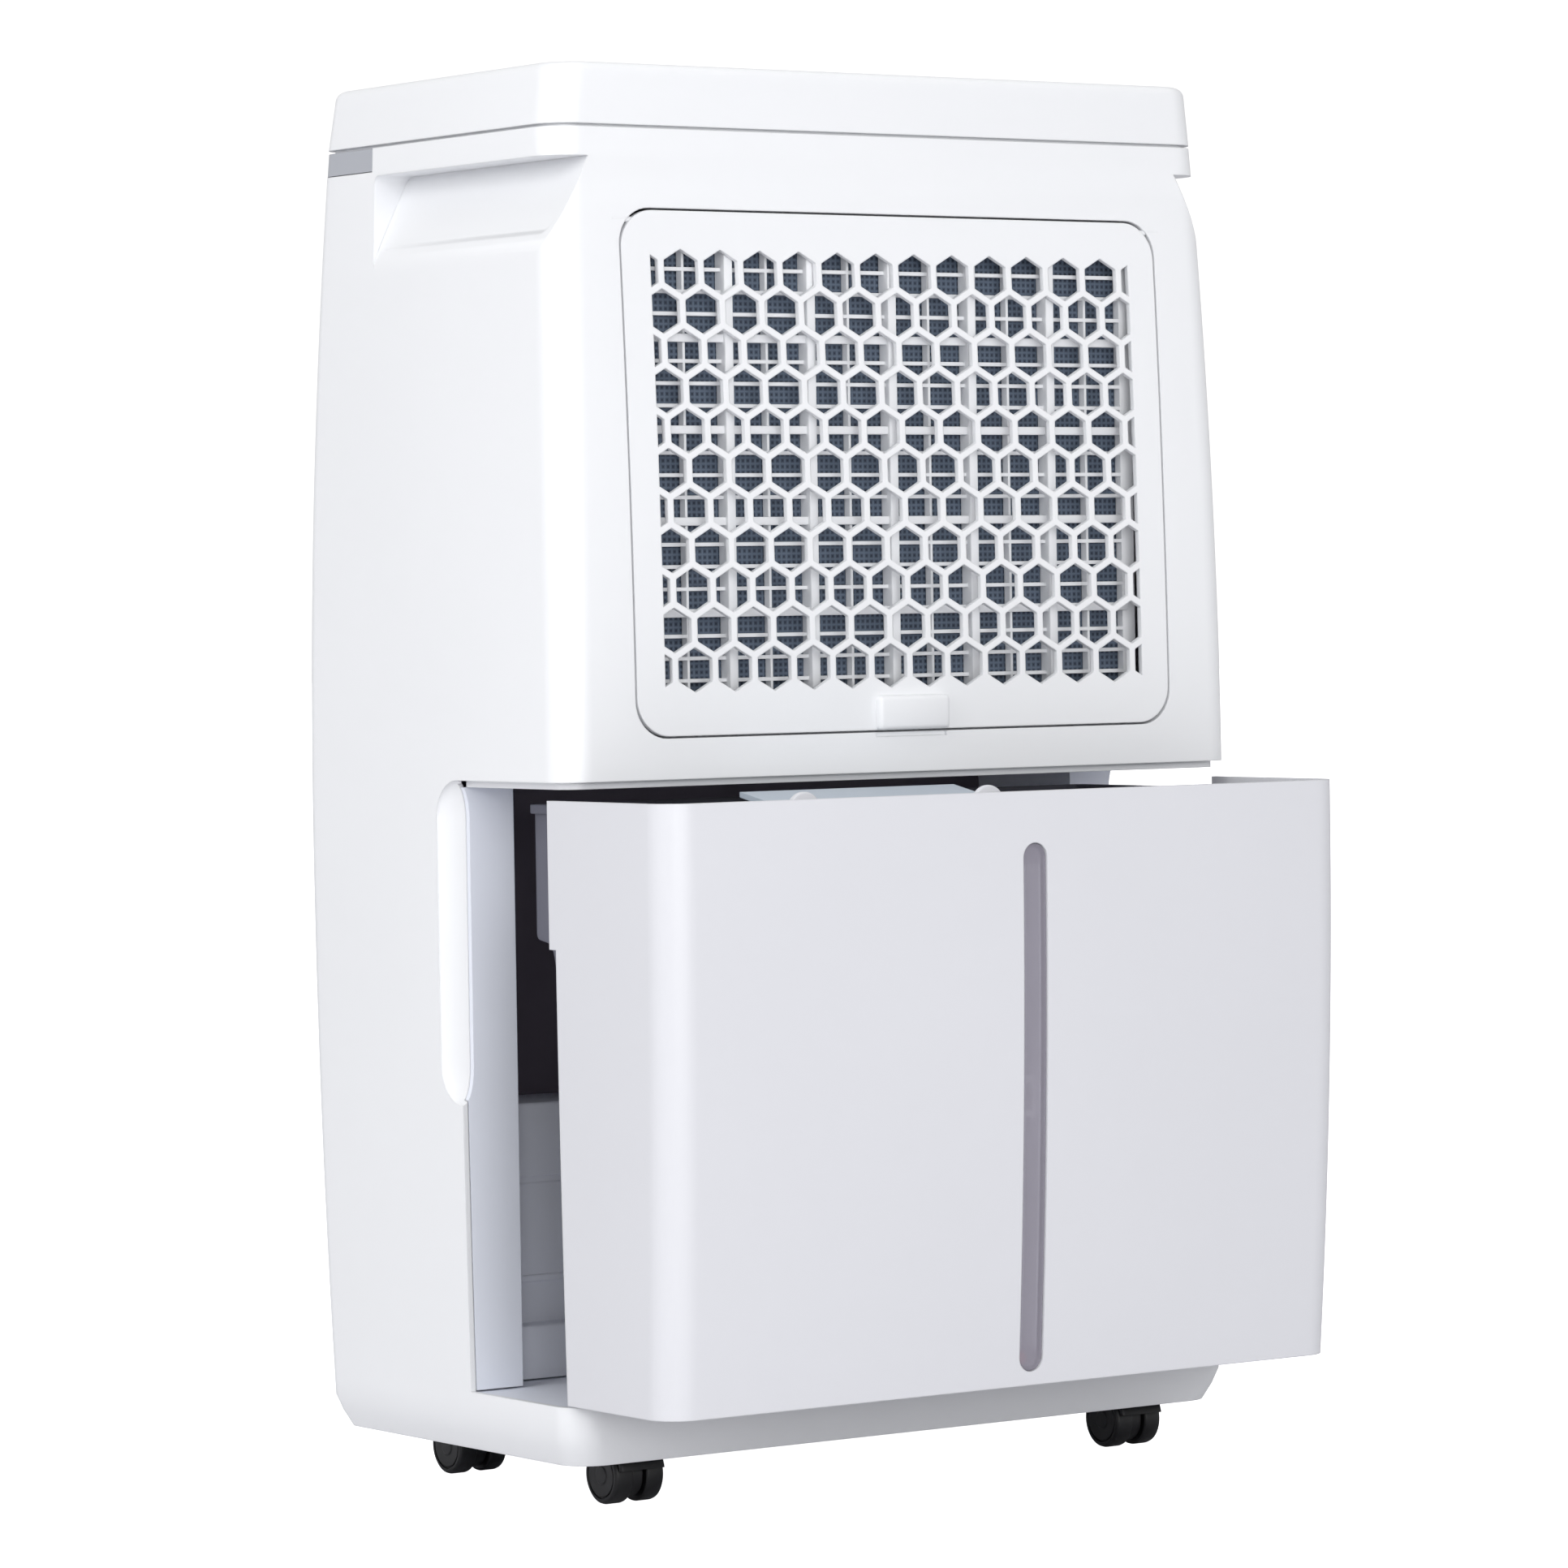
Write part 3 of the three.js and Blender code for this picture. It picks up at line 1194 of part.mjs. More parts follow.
for (const { name, x, y } of castorPlaces) {
  const castor = new THREE.Group();
  castor.position.set(x, y, 0);
  machine.add(castor);
  add(castor, `castor_fork_${name}`, makeCastorFork(), black);
  for (const side of sides) {
    const wheel = add(castor, `wheel_${name}_${side < 0 ? 'a' : 'b'}`, makeWheel(side), black);
    wheel.position.set(0, -castorTrail, wheelRadius);
  }
}

// The box round the whole object runs from the drawn bucket to the bowed front.
machine.position.y = (bellyRear + bucketDrawn - bellyFront) / 2;

export default model;
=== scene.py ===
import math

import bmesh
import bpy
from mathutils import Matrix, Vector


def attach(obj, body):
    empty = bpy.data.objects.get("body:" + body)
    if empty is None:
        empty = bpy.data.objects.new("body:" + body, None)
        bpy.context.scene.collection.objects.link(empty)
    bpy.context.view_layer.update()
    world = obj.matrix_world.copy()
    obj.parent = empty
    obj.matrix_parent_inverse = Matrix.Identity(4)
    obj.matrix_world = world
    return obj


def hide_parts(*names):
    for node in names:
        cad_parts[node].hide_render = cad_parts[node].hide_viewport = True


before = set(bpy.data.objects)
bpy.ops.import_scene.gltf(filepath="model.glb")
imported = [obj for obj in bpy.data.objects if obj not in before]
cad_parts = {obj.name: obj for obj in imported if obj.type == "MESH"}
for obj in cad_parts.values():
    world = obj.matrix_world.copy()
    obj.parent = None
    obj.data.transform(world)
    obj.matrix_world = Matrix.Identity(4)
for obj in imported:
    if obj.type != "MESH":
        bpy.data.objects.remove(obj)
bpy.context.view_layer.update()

# %% [markdown]
# # A wheeled dehumidifier, dressed for its portrait
# The frame that was just loaded holds the machine's plain engineering solids, already in place
# and already jointed. This lesson gives each visible piece a finer skin and a finish.

# %% [markdown]
# ## Sizes
# The cabinet is a barrel: widest at its belly, falling in as a parabola towards its top and its
# foot. The numbers below are millimetres, as a moulder's drawing would have them, measured from
# the middle of the cabinet. `BACK_SHIFT` carries the cabinet into the frame, and `PULLED` does the
# same for the bucket, which stands 76 mm out of its bay.

# %% Driving sizes
MM = 0.001
BACK_SHIFT = 37
PULLED = -39
HEIGHT = 616
BELLY = {"side": 181.5, "rear": 106.5, "front": 108.5}
TOP_FALL = {"side": 6, "rear": 10.5, "front": 14}
FOOT_FALL = {"side": 2.5, "rear": 5, "front": 7}
WALL = 2.6
SKIRT_FOOT = 20
CREASE = 34
BAY_FLOOR = 46
SPLIT = 311
BAY_ROOF = 308
BELLY_Z = 289.8
CABINET_TOP = 588.5
LID_FOOT = 589.7
BAY_MOUTH = -21
BAY_HALF = 152.5
BAY_BACK = 52
BUCKET_FOOT = 47.2
BUCKET_TOP = 303.5
GRIP_TOP = 576
GRIP_FOOT = 538
DOOR_FOOT = 329
DOOR_TOP = 554
DRAIN_Y = 46
DRAIN_Z = 262
LEAD_Y = 62
LEAD_Z = 84
HINGE_Y = -97
HINGE_Z = 549.4
TAB_HALF = 19
TAB_HEIGHT = 15
FIT_GAP = 0.35
WIDE = 210
SIDES = (-1, 1)


def cabinet_profile(z):
    above = z > BELLY_Z
    reach = CABINET_TOP - BELLY_Z if above else BELLY_Z - CREASE
    fall = TOP_FALL if above else FOOT_FALL
    t = min(abs(z - BELLY_Z), reach) / reach
    skirt = max(0, CREASE - max(z, SKIRT_FOOT)) / 14
    inward = 5.5 * skirt ** 1.25
    return {face: BELLY[face] - fall[face] * t * t - inward for face in BELLY}


def bucket_profile(z):
    profile = cabinet_profile(z)
    t = max(0, BELLY_Z - z) / (BELLY_Z - BUCKET_FOOT)
    profile["rear"] -= 4.5 * t * t
    return profile


print("belly", cabinet_profile(BELLY_Z), "top", cabinet_profile(CABINET_TOP))

# %% [markdown]
# ## A small toolbox
# Every piece is made from a handful of shapes: a loft that follows the barrel, a prism of any
# outline, a turned shape, and a block with softened edges. They are written out as vertices and
# faces with bmesh, so their fineness can be chosen where the eye needs it.

# %% Making a mesh
def make(points, faces):
    mesh = bpy.data.meshes.new("shape")
    mesh.from_pydata([Vector(point) * MM for point in points], [], faces)
    worked = bmesh.new()
    worked.from_mesh(mesh)
    bmesh.ops.recalc_face_normals(worked, faces=worked.faces)
    worked.to_mesh(mesh)
    worked.free()
    shape = bpy.data.objects.new("shape", mesh)
    bpy.context.collection.objects.link(shape)
    return shape


def skin_rings(rings):
    count = len(rings[0])
    points = [point for ring in rings for point in ring]
    faces = []
    for level in range(len(rings) - 1):
        for i in range(count):
            j = (i + 1) % count
            low = level * count
            faces.append((low + i, low + j, low + count + j, low + count + i))
    faces.append(tuple(range(count))[::-1])
    faces.append(tuple(range(len(points) - count, len(points))))
    return make(points, faces)


# %% [markdown]
# The loft draws a rounded rectangle at each level and skins the rings together. Levels lie 8 mm
# apart, which is fine enough for the barrel's slow curve to read as one surface.

# %% Lofts along the barrel
def rounded_rectangle(x0, x1, y0, y1, low, high=None, steps=10):
    high = low if high is None else high
    corners = [(x1 - low, y0 + low, low, -90), (x1 - high, y1 - high, high, 0)]
    corners += [(x0 + high, y1 - high, high, 90), (x0 + low, y0 + low, low, 180)]
    points = []
    for cx, cy, radius, start in corners:
        for i in range(steps + 1):
            turn = math.radians(start + 90 * i / steps)
            points.append((cx + radius * math.cos(turn), cy + radius * math.sin(turn)))
    return points


def levels_between(low, high, step=8):
    stops = sorted({low, high, *(z for z in (CREASE, BELLY_Z) if low < z < high)})
    levels = [stops[0]]
    for a, b in zip(stops, stops[1:]):
        parts = max(1, round((b - a) / step))
        levels += [a + (b - a) * k / parts for k in range(1, parts + 1)]
    return levels


def loft(profile_at, levels, inset, low=15, high=11):
    rings = []
    for z in levels:
        size = profile_at(z)
        side = size["side"] - inset
        rear = size["rear"] - inset
        front = size["front"] - inset
        ring = rounded_rectangle(-side, side, -rear, front, max(low - inset, 1), max(high - inset, 1))
        rings.append([(x, y, z) for x, y in ring])
    return skin_rings(rings)


def cabinet_inside(inset):
    return loft(cabinet_profile, levels_between(SKIRT_FOOT - 3, CABINET_TOP + 3), inset)


# %% [markdown]
# A prism stands an outline up along an axis. Its outline may have softened corners, as every
# moulded part has, because sharp inside corners tear when the part leaves the mould.

# %% Prisms, turned shapes and soft blocks
def stand(axis, a, b, t):
    return {"x": (t, a, b), "y": (a, t, b), "z": (a, b, t)}[axis]


def prism(points, axis, low, high):
    return skin_rings([[stand(axis, a, b, t) for a, b in points] for t in (low, high)])


def soften(points, radius, steps=6):
    rounded = []
    for i, here in enumerate(points):
        before = Vector(points[i - 1])
        after = Vector(points[(i + 1) % len(points)])
        corner = Vector(here[:2])
        bend = here[2] if len(here) > 2 else radius
        into = (Vector(before[:2]) - corner).normalized()
        out = (Vector(after[:2]) - corner).normalized()
        half = into.angle(out) / 2
        if bend < 0.01 or half > 1.55:
            rounded.append((corner.x, corner.y))
            continue
        reach = bend / math.tan(half)
        start = corner + into * reach
        end = corner + out * reach
        for k in range(steps + 1):
            t = k / steps
            mix = start * (1 - t) ** 2 + corner * 2 * t * (1 - t) + end * t * t
            rounded.append((mix.x, mix.y))
    return rounded


def turned(axis, a, b, profile, sides=48):
    rings = []
    for t, radius in profile:
        ring = []
        for i in range(sides):
            turn = 2 * math.pi * i / sides
            u = a + max(radius, 0.01) * math.cos(turn)
            v = b + max(radius, 0.01) * math.sin(turn)
            ring.append(stand(axis, u, v, t))
        rings.append(ring)
    return skin_rings(rings)


def rod(axis, a, b, low, high, radius, sides=48):
    return turned(axis, a, b, [(low, radius), (high, radius)], sides)


def soft_rod(axis, a, b, low, high, radius, edge=0.8, sides=48):
    profile = [(low, radius - edge)]
    for k in range(1, 4):
        turn = math.pi / 2 * k / 3
        profile.append((low + edge * (1 - math.cos(turn)), radius - edge * (1 - math.sin(turn))))
    profile += [(low + high - t, r) for t, r in reversed(profile)]
    return turned(axis, a, b, profile, sides)


def block(x0, x1, y0, y1, z0, z1, edge=0.0, steps=3):
    shape = prism([(x0, y0), (x1, y0), (x1, y1), (x0, y1)], "z", z0, z1)
    if edge:
        worked = bmesh.new()
        worked.from_mesh(shape.data)
        bmesh.ops.bevel(
            worked, geom=worked.edges[:], offset=edge * MM, segments=steps, profile=0.5, affect="EDGES"
        )
        worked.to_mesh(shape.data)
        worked.free()
    return shape


def slab(half, y0, y1, z0, z1, edge=0.0):
    return block(-half, half, y0, y1, z0, z1, edge)


# %% [markdown]
# Shapes are cut and joined with Blender's boolean modifier, on its manifold solver, which is both
# fast and exact for closed shapes. The result is baked into the mesh, and the tools are deleted.

# %% Cutting and joining
def bake(shape):
    graph = bpy.context.evaluated_depsgraph_get()
    baked = bpy.data.meshes.new_from_object(shape.evaluated_get(graph))
    shape.modifiers.clear()
    shape.data = baked
    return shape


def work(shape, operation, tools):
    for tool in tools:
        step = shape.modifiers.new(operation.lower(), "BOOLEAN")
        step.operation = operation
        step.solver = "MANIFOLD"
        step.object = tool
    bake(shape)
    for tool in tools:
        bpy.data.objects.remove(tool)
    return shape


def cut(shape, *tools):
    return work(shape, "DIFFERENCE", tools)


def join(shape, *tools):
    return work(shape, "UNION", tools)


def within(shape, *tools):
    return work(shape, "INTERSECT", tools)


def copy_of(shape):
    twin = bpy.data.objects.new("shape", shape.data.copy())
    bpy.context.collection.objects.link(twin)
    return twin


# %% [markdown]
# ## Finishes
# Moulded plastic is never one flat colour. The tool's spark-eroded surface leaves a grain of about
# half a millimetre, the resin flows leave a barely visible cloudiness, and handling polishes it
# unevenly. One recipe gives all of that, and each piece chooses its own amounts. A Bevel node
# rounds the edges in the shading, as moulded edges are always rounded a little.

# %% A recipe for moulded plastic
def nodes_for(name):
    finish = bpy.data.materials.new(name)
    finish.use_nodes = True
    tree = finish.node_tree
    return finish, tree, tree.nodes["Principled BSDF"]


def put(tree, kind, values=(), **settings):
    node = tree.nodes.new(kind)
    for key, value in settings.items():
        setattr(node, key, value)
    for key, value in dict(values).items():
        node.inputs[key].default_value = value
    return node


def shade(color, amount):
    return [min(1, max(0, channel * amount)) for channel in color[:3]] + [1]


def noise(tree, place, scale, detail=3):
    grain = put(tree, "ShaderNodeTexNoise", {"Scale": scale, "Detail": detail})
    tree.links.new(place.outputs["Object"], grain.inputs["Vector"])
    return grain


def spread(tree, source, low, high):
    span = put(tree, "ShaderNodeMapRange", {"From Min": 0.3, "From Max": 0.7, "To Min": low, "To Max": high})
    tree.links.new(source, span.inputs["Value"])
    return span.outputs["Result"]


def plastic(name, color, rough=0.4, grain=0.12, cloud=0.03, coat=0.0, edge=0.7, metal=0.0, grain_scale=1400):
    finish, tree, shader = nodes_for(name)
    place = put(tree, "ShaderNodeTexCoord")
    cloudy = noise(tree, place, 9)
    mixed = put(tree, "ShaderNodeMix", data_type="RGBA")
    mixed.inputs["A"].default_value = shade(color, 1 - cloud)
    mixed.inputs["B"].default_value = shade(color, 1 + cloud)
    tree.links.new(spread(tree, cloudy.outputs["Fac"], 0, 1), mixed.inputs["Factor"])
    tree.links.new(mixed.outputs["Result"], shader.inputs["Base Color"])
    worn = noise(tree, place, 55, 5)
    tree.links.new(spread(tree, worn.outputs["Fac"], rough * 0.9, rough * 1.12), shader.inputs["Roughness"])
    pitted = noise(tree, place, grain_scale, 2)
    rounded = put(tree, "ShaderNodeBevel", {"Radius": edge * MM}, samples=4)
    bump = put(tree, "ShaderNodeBump", {"Strength": grain, "Distance": 0.0001})
    tree.links.new(pitted.outputs["Fac"], bump.inputs["Height"])
    tree.links.new(rounded.outputs["Normal"], bump.inputs["Normal"])
    tree.links.new(bump.outputs["Normal"], shader.inputs["Normal"])
    shader.inputs["Metallic"].default_value = metal
    shader.inputs["Coat Weight"].default_value = coat
    shader.inputs["Coat Roughness"].default_value = 0.25
    shader.inputs["IOR"].default_value = 1.5
    print("finish", name)
    return finish


WHITE = plastic("white_satin_shell", (0.86, 0.87, 0.89), 0.33, 0.05, 0.006, coat=0.15, edge=0.9)
# Painted shade: the bucket's white is the shell's white made darker and bluer, standing in for the dimmer
# light on the bucket's face.
SHADED_BUCKET_WHITE = plastic("white_satin_bucket_painted_shade", (0.71, 0.715, 0.75), 0.36, 0.05, 0.006, coat=0.1, edge=0.9)
RIB_WHITE = plastic("white_filter_ribs", (0.84, 0.85, 0.87), 0.42, 0.08, 0.008, edge=0.5)
BLUE_GREY = plastic("blue_grey_liner", (0.82, 0.85, 0.93), 0.45, 0.12, 0.02, edge=0.5)
COOL_GREY = plastic("cool_grey_moulding", (0.44, 0.50, 0.57), 0.4, 0.15, 0.03, edge=0.6)
PUMP_GREY = plastic("pump_cover_grey", (0.84, 0.86, 0.94), 0.45, 0.15, 0.03, edge=0.6)
# Painted shade: the bulkhead's dark colour stands in for the shade deep in the bay behind the bucket.
BAY_SHADE_CHARCOAL = plastic("bulkhead_painted_shade_charcoal", (0.15, 0.13, 0.165), 0.55, 0.25, 0.1, edge=0.8)
SILVER = plastic("silver_paint", (0.50, 0.52, 0.57), 0.3, 0.2, 0.02, coat=0.3, edge=0.4, metal=0.35)
TANK = plastic("tank_grey", (0.135, 0.135, 0.168), 0.34, 0.1, 0.05, coat=0.1, edge=1.2)
BLACK = plastic("black_moulding", (0.015, 0.015, 0.018), 0.42, 0.25, 0.1, edge=0.4)
NYLON = plastic("castor_nylon", (0.004, 0.004, 0.005), 0.4, 0.12, 0.15, edge=0.5)
RED = plastic("red_float", (0.62, 0.035, 0.02), 0.3, 0.03, 0.05, coat=0.4, edge=0.2)
WINDOW_SMOKE = plastic("window_smoke", (0.40, 0.38, 0.45), 0.15, 0.0, 0.04, coat=0.5, edge=0.5)
WINDOW_SMOKE.node_tree.nodes["Principled BSDF"].inputs["Alpha"].default_value = 0.5
FOAM = plastic("white_foam", (0.78, 0.78, 0.78), 0.8, 0.9, 0.05, edge=1.0, grain_scale=420)

# %% [markdown]
# Inside, metal takes over: finned coils, drawn copper, black-painted steel and zinc plate. They
# are hidden, but anyone who opens the model should find them finished.

# %% Metals, board, smoke and net
COPPER = plastic("drawn_copper", (0.72, 0.30, 0.17), 0.3, 0.1, 0.12, edge=0.2, metal=1.0)
BLACK_STEEL = plastic("black_painted_steel", (0.018, 0.018, 0.02), 0.35, 0.35, 0.1, coat=0.3, edge=0.8)
ZINC = plastic("zinc_plate", (0.52, 0.53, 0.55), 0.36, 0.3, 0.12, edge=0.5, metal=0.95, grain_scale=300)
BOARD = plastic("circuit_board", (0.02, 0.16, 0.06), 0.4, 0.5, 0.3, coat=0.4, edge=0.2, grain_scale=260)
SMOKE = plastic("smoked_acrylic", (0.20, 0.19, 0.225), 0.12, 0.0, 0.05, coat=0.6, edge=0.5)


def striped(name, first, second, direction, pitch, rough, metal=0.0, strength=0.5):
    finish, tree, shader = nodes_for(name)
    place = put(tree, "ShaderNodeTexCoord")
    height = None
    for axis in direction:
        wave = put(tree, "ShaderNodeTexWave", {"Scale": 0.31416 / (pitch * MM) * 0.5}, bands_direction=axis)
        tree.links.new(place.outputs["Object"], wave.inputs["Vector"])
        if height is None:
            height = wave.outputs["Fac"]
            continue
        both = put(tree, "ShaderNodeMath", operation="MAXIMUM")
        tree.links.new(height, both.inputs[0])
        tree.links.new(wave.outputs["Fac"], both.inputs[1])
        height = both.outputs["Value"]
    mixed = put(tree, "ShaderNodeMix", data_type="RGBA")
    mixed.inputs["A"].default_value = (*first, 1)
    mixed.inputs["B"].default_value = (*second, 1)
    tree.links.new(height, mixed.inputs["Factor"])
    tree.links.new(mixed.outputs["Result"], shader.inputs["Base Color"])
    bump = put(tree, "ShaderNodeBump", {"Strength": strength, "Distance": 0.0004})
    tree.links.new(height, bump.inputs["Height"])
    tree.links.new(bump.outputs["Normal"], shader.inputs["Normal"])
    shader.inputs["Roughness"].default_value = rough
    shader.inputs["Metallic"].default_value = metal
    print("finish", name)
    return finish


FINS = striped("coil_fins", (0.25, 0.26, 0.28), (0.78, 0.79, 0.81), "X", 1.8, 0.35, 1.0)
NET = striped("woven_net", (0.012, 0.02, 0.04), (0.11, 0.145, 0.20), "XZ", 1.3, 0.65)

# %% [markdown]
# ## Handing a piece over
# A finished piece is moved to its place, smoothed where its faces meet at a shallow angle, given
# its finish, and tied to the body it moves with.

# %% Finishing a piece
def done(shape, name, body, finish, stands_for=(), shift=BACK_SHIFT, crease=28):
    shape.name = name
    shape.data.name = name
    shape.data.transform(Matrix.Translation((0, shift * MM, 0)))
    shape.data.materials.clear()
    shape.data.materials.append(finish)
    shape.data.polygons.foreach_set("use_smooth", [True] * len(shape.data.polygons))
    shape.data.set_sharp_from_angle(angle=math.radians(crease))
    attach(shape, body)
    if stands_for:
        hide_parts(*stands_for)
    print(name, len(shape.data.polygons), "faces")
    return shape


# %% [markdown]
# ## Camera, floor and light
# The portrait is taken from in front of the bucket and to its left, barely above the bucket's
# height, with a long lens. The floor is plain and pale, and the light is a bright even studio.
# To the camera the floor and the sky are pure white. Everything else sees them dimmer, so that the
# pale machine keeps its shading and its shadow on the floor stays faint.

# %% Camera
camera_data = bpy.data.cameras.new("camera")
camera_data.sensor_width = 36
camera_data.lens = 143.5
camera_data.clip_end = 100
camera = bpy.data.objects.new("camera", camera_data)
bpy.context.collection.objects.link(camera)
right = Vector((0.818788, -0.573885, -0.015693))
up = Vector((0.029573, 0.014862, 0.99946))
look = right.cross(up)
camera.matrix_world = Matrix((
    (right.x, up.x, look.x, -1.613),
    (right.y, up.y, look.y, -2.275),
    (right.z, up.z, look.z, 0.386),
    (0, 0, 0, 1),
))
bpy.context.scene.camera = camera
print("camera at", tuple(round(v, 3) for v in camera.location))

# %% Floor and studio light
floor = turned("z", 0, 0, [(-6, 30000), (-0.4, 30000)], 96)
floor.name = "studio_floor"
floor_paint, floor_tree, floor_shader = nodes_for("floor_paint")
seen = put(floor_tree, "ShaderNodeLightPath")
glow = put(floor_tree, "ShaderNodeMath", {1: 1.1}, operation="MULTIPLY")
floor_tree.links.new(seen.outputs["Is Camera Ray"], glow.inputs[0])
floor_tree.links.new(glow.outputs["Value"], floor_shader.inputs["Emission Strength"])
floor_shader.inputs["Emission Color"].default_value = (1, 1, 1, 1)
floor_shader.inputs["Base Color"].default_value = (0.73, 0.73, 0.76, 1)
floor_shader.inputs["Roughness"].default_value = 0.9
floor_shader.inputs["Specular IOR Level"].default_value = 0.1
floor.data.materials.append(floor_paint)
world = bpy.data.worlds.new("studio")
bpy.context.scene.world = world
world.use_nodes = True
sky = world.node_tree.nodes["Background"]
sky_seen = put(world.node_tree, "ShaderNodeLightPath")
sky_span = put(world.node_tree, "ShaderNodeMapRange", {"To Min": 0.58, "To Max": 1.1})
world.node_tree.links.new(sky_seen.outputs["Is Camera Ray"], sky_span.inputs["Value"])
world.node_tree.links.new(sky_span.outputs["Result"], sky.inputs["Strength"])
sky.inputs["Color"].default_value = (1, 1, 1, 1)


def soft_light(name, place, aim, size, power, tint=(1, 1, 1)):
    lamp_data = bpy.data.lights.new(name, "AREA")
    lamp_data.shape = "DISK"
    lamp_data.size = size
    lamp_data.energy = power
    lamp_data.color = tint
    lamp = bpy.data.objects.new(name, lamp_data)
    lamp.location = place
    lamp.rotation_euler = (Vector(aim) - Vector(place)).to_track_quat("-Z", "Y").to_euler()
    bpy.context.collection.objects.link(lamp)
    return lamp


soft_light("key", (-3.2, -0.6, 1.9), (0, 0, 0.3), 2.2, 40)
soft_light("front_fill", (-1.0, -3.6, 1.3), (0, 0, 0.3), 2.4, 50)
soft_light("camera_fill", (-1.9, -2.6, 0.6), (0, 0, 0.3), 1.0, 9)
soft_light("overhead", (0, 0.2, 3.2), (0, 0, 0.3), 2.4, 9)
bpy.context.scene.view_settings.view_transform = "Standard"
print("studio ready")

# %% [markdown]
# ## The cabinet
# The cabinet is one moulded skin: sides, back and skirt without a seam. It is lofted twice, the
# inner loft is taken from the outer, and then the bay, the door's recess, the grips and the
# scoops are cut. Each cut that would open the skin gets a backing first, as in a real moulding.

# %% Grips
GRIP_DEPTH = 18
GRIP_END = 47
GRIP_TAIL = 1.3
GRIP_BLEND = 0.09


def grip_cutter(side, grow=0):
    depth = GRIP_DEPTH + grow
    fall = GRIP_TOP - GRIP_FOOT + grow
    edge = cabinet_profile(GRIP_TOP)["side"]
    outline = [(side * (edge + 14), GRIP_TOP + grow), (side * (edge - depth), GRIP_TOP + grow)]
    steps = 22
    for k in range(1, steps + 1):
        t = GRIP_TAIL * k / steps
        z = GRIP_TOP + grow - fall * t
        inset = depth * (math.hypot(1 - t, GRIP_BLEND) + 1 - t) / 2 - 0.3
        outline.append((side * (cabinet_profile(z)["side"] - inset), z))
    outline.append((side * (edge + 14), GRIP_TOP - fall * GRIP_TAIL))
    end = GRIP_END + grow
    shape = prism(outline, "y", -150, end)
    reach = rounded_rectangle(-220, end, 500, GRIP_TOP + grow, 3.5)
    return within(shape, prism(reach, "x", -250, 250))


# %% Scoops at the bay's mouth
SCOOP_RADIUS = 17
SCOOP_DEPTH = 6
SCOOP_LENGTH = 141


def scoop(side, grow=0):
    radius = SCOOP_RADIUS + grow
    top = SPLIT - SCOOP_RADIUS
    foot = SPLIT - SCOOP_LENGTH + SCOOP_RADIUS
    skin_x = side * cabinet_profile((top + foot) / 2)["side"]
    profile = []
    for k in range(13):
        turn = math.pi / 2 * k / 12
        profile.append((foot - radius * math.cos(turn), radius * math.sin(turn)))
    profile += [(top + foot - t, r) for t, r in reversed(profile)]
    shape = turned("z", 0, 0, profile, 64)
    shape.data.transform(Matrix.Diagonal(((SCOOP_DEPTH + grow) / radius, 1, 1, 1)))
    shape.data.transform(Matrix.Translation((skin_x * MM, BAY_MOUTH * MM, 0)))
    return shape


# %% Door opening
DOOR_HALF = 144.45


def door_cutter(grow, y0, y1):
    outline = rounded_rectangle(
        -DOOR_HALF - grow, DOOR_HALF + grow, DOOR_FOOT - 0.45 - grow, DOOR_TOP + 0.45 + grow, 16 + grow
    )
    return prism(outline, "y", y0, y1)


# %% [markdown]
# The upper cover of the cabinet ends over the bay in a thin lip set back from the face, so a line
# of shadow runs all round between the cover and the bucket.

# %% Cabinet
FRONT_SEAM = 162
BAND_TOP = CABINET_TOP - 0.3
BAND_FOOT = BAND_TOP - 10
BAND_END = cabinet_profile(BAND_FOOT)["front"] - 46


def make_cabinet():
    levels = levels_between(SKIRT_FOOT, CABINET_TOP)
    outside = loft(cabinet_profile, levels, 0)
    shell = cut(copy_of(outside), cabinet_inside(WALL))
    cut(shell, slab(WIDE, -WIDE, BAY_MOUTH, BAY_FLOOR, SPLIT), slab(FRONT_SEAM, 70, WIDE, 0, 600))
    ledge = cut(copy_of(outside), cabinet_inside(7.4))
    within(ledge, slab(WIDE, -WIDE, BAY_MOUTH, SPLIT, SPLIT + 2.5))
    lip = cut(cabinet_inside(5), cabinet_inside(7.4))
    within(lip, slab(WIDE, -WIDE, BAY_MOUTH, BAY_ROOF, SPLIT + 2.5))
    well = within(door_cutter(2.4, -130, -88), copy_of(outside))
    rib = slab(TAB_HALF + 4, -106.5, -101.5, DOOR_FOOT - 8.5, DOOR_FOOT - 0.5)
    within(rib, copy_of(outside))
    join(shell, ledge, lip, well, rib)
    for side in SIDES:
        behind = slab(WIDE, BAY_MOUTH + 2.85, WIDE, BAY_FLOOR, SPLIT)
        backing = within(scoop(side, 2.2), copy_of(outside), behind)
        join(shell, within(grip_cutter(side, WALL), copy_of(outside)), backing)
    edge = cabinet_profile(DRAIN_Z)["side"]
    join(shell, within(rod("x", DRAIN_Y, DRAIN_Z, edge - 17.6, edge - 1, 18.6), copy_of(outside)))
    cut(shell, door_cutter(0, -130, -78), slab(TAB_HALF, -130, -104.9, DOOR_FOOT - 2.4, DOOR_FOOT + 0.5))
    cut(shell, slab(WIDE, BAND_END - FIT_GAP, WIDE, BAND_FOOT - FIT_GAP, 600))
    cut(shell, rod("x", DRAIN_Y, DRAIN_Z, edge - 15, edge + 5, 16))
    cut(shell, rod("x", DRAIN_Y, DRAIN_Z, 0, edge, 7.35))
    cut(shell, rod("x", LEAD_Y, LEAD_Z, 0, 200, 8.35), rod("x", HINGE_Y, HINGE_Z, -147.5, 147.5, 1.35, 12))
    for side in SIDES:
        cut(shell, grip_cutter(side), scoop(side))
    bpy.data.objects.remove(outside)
    return shell


done(make_cabinet(), "cabinet_shell", "machine", WHITE, ["cabinet"])

# %% [markdown]
# The bowed front is a separate panel, clipped in behind the sides, with a silver band wrapped
# round its top edge under the lid.

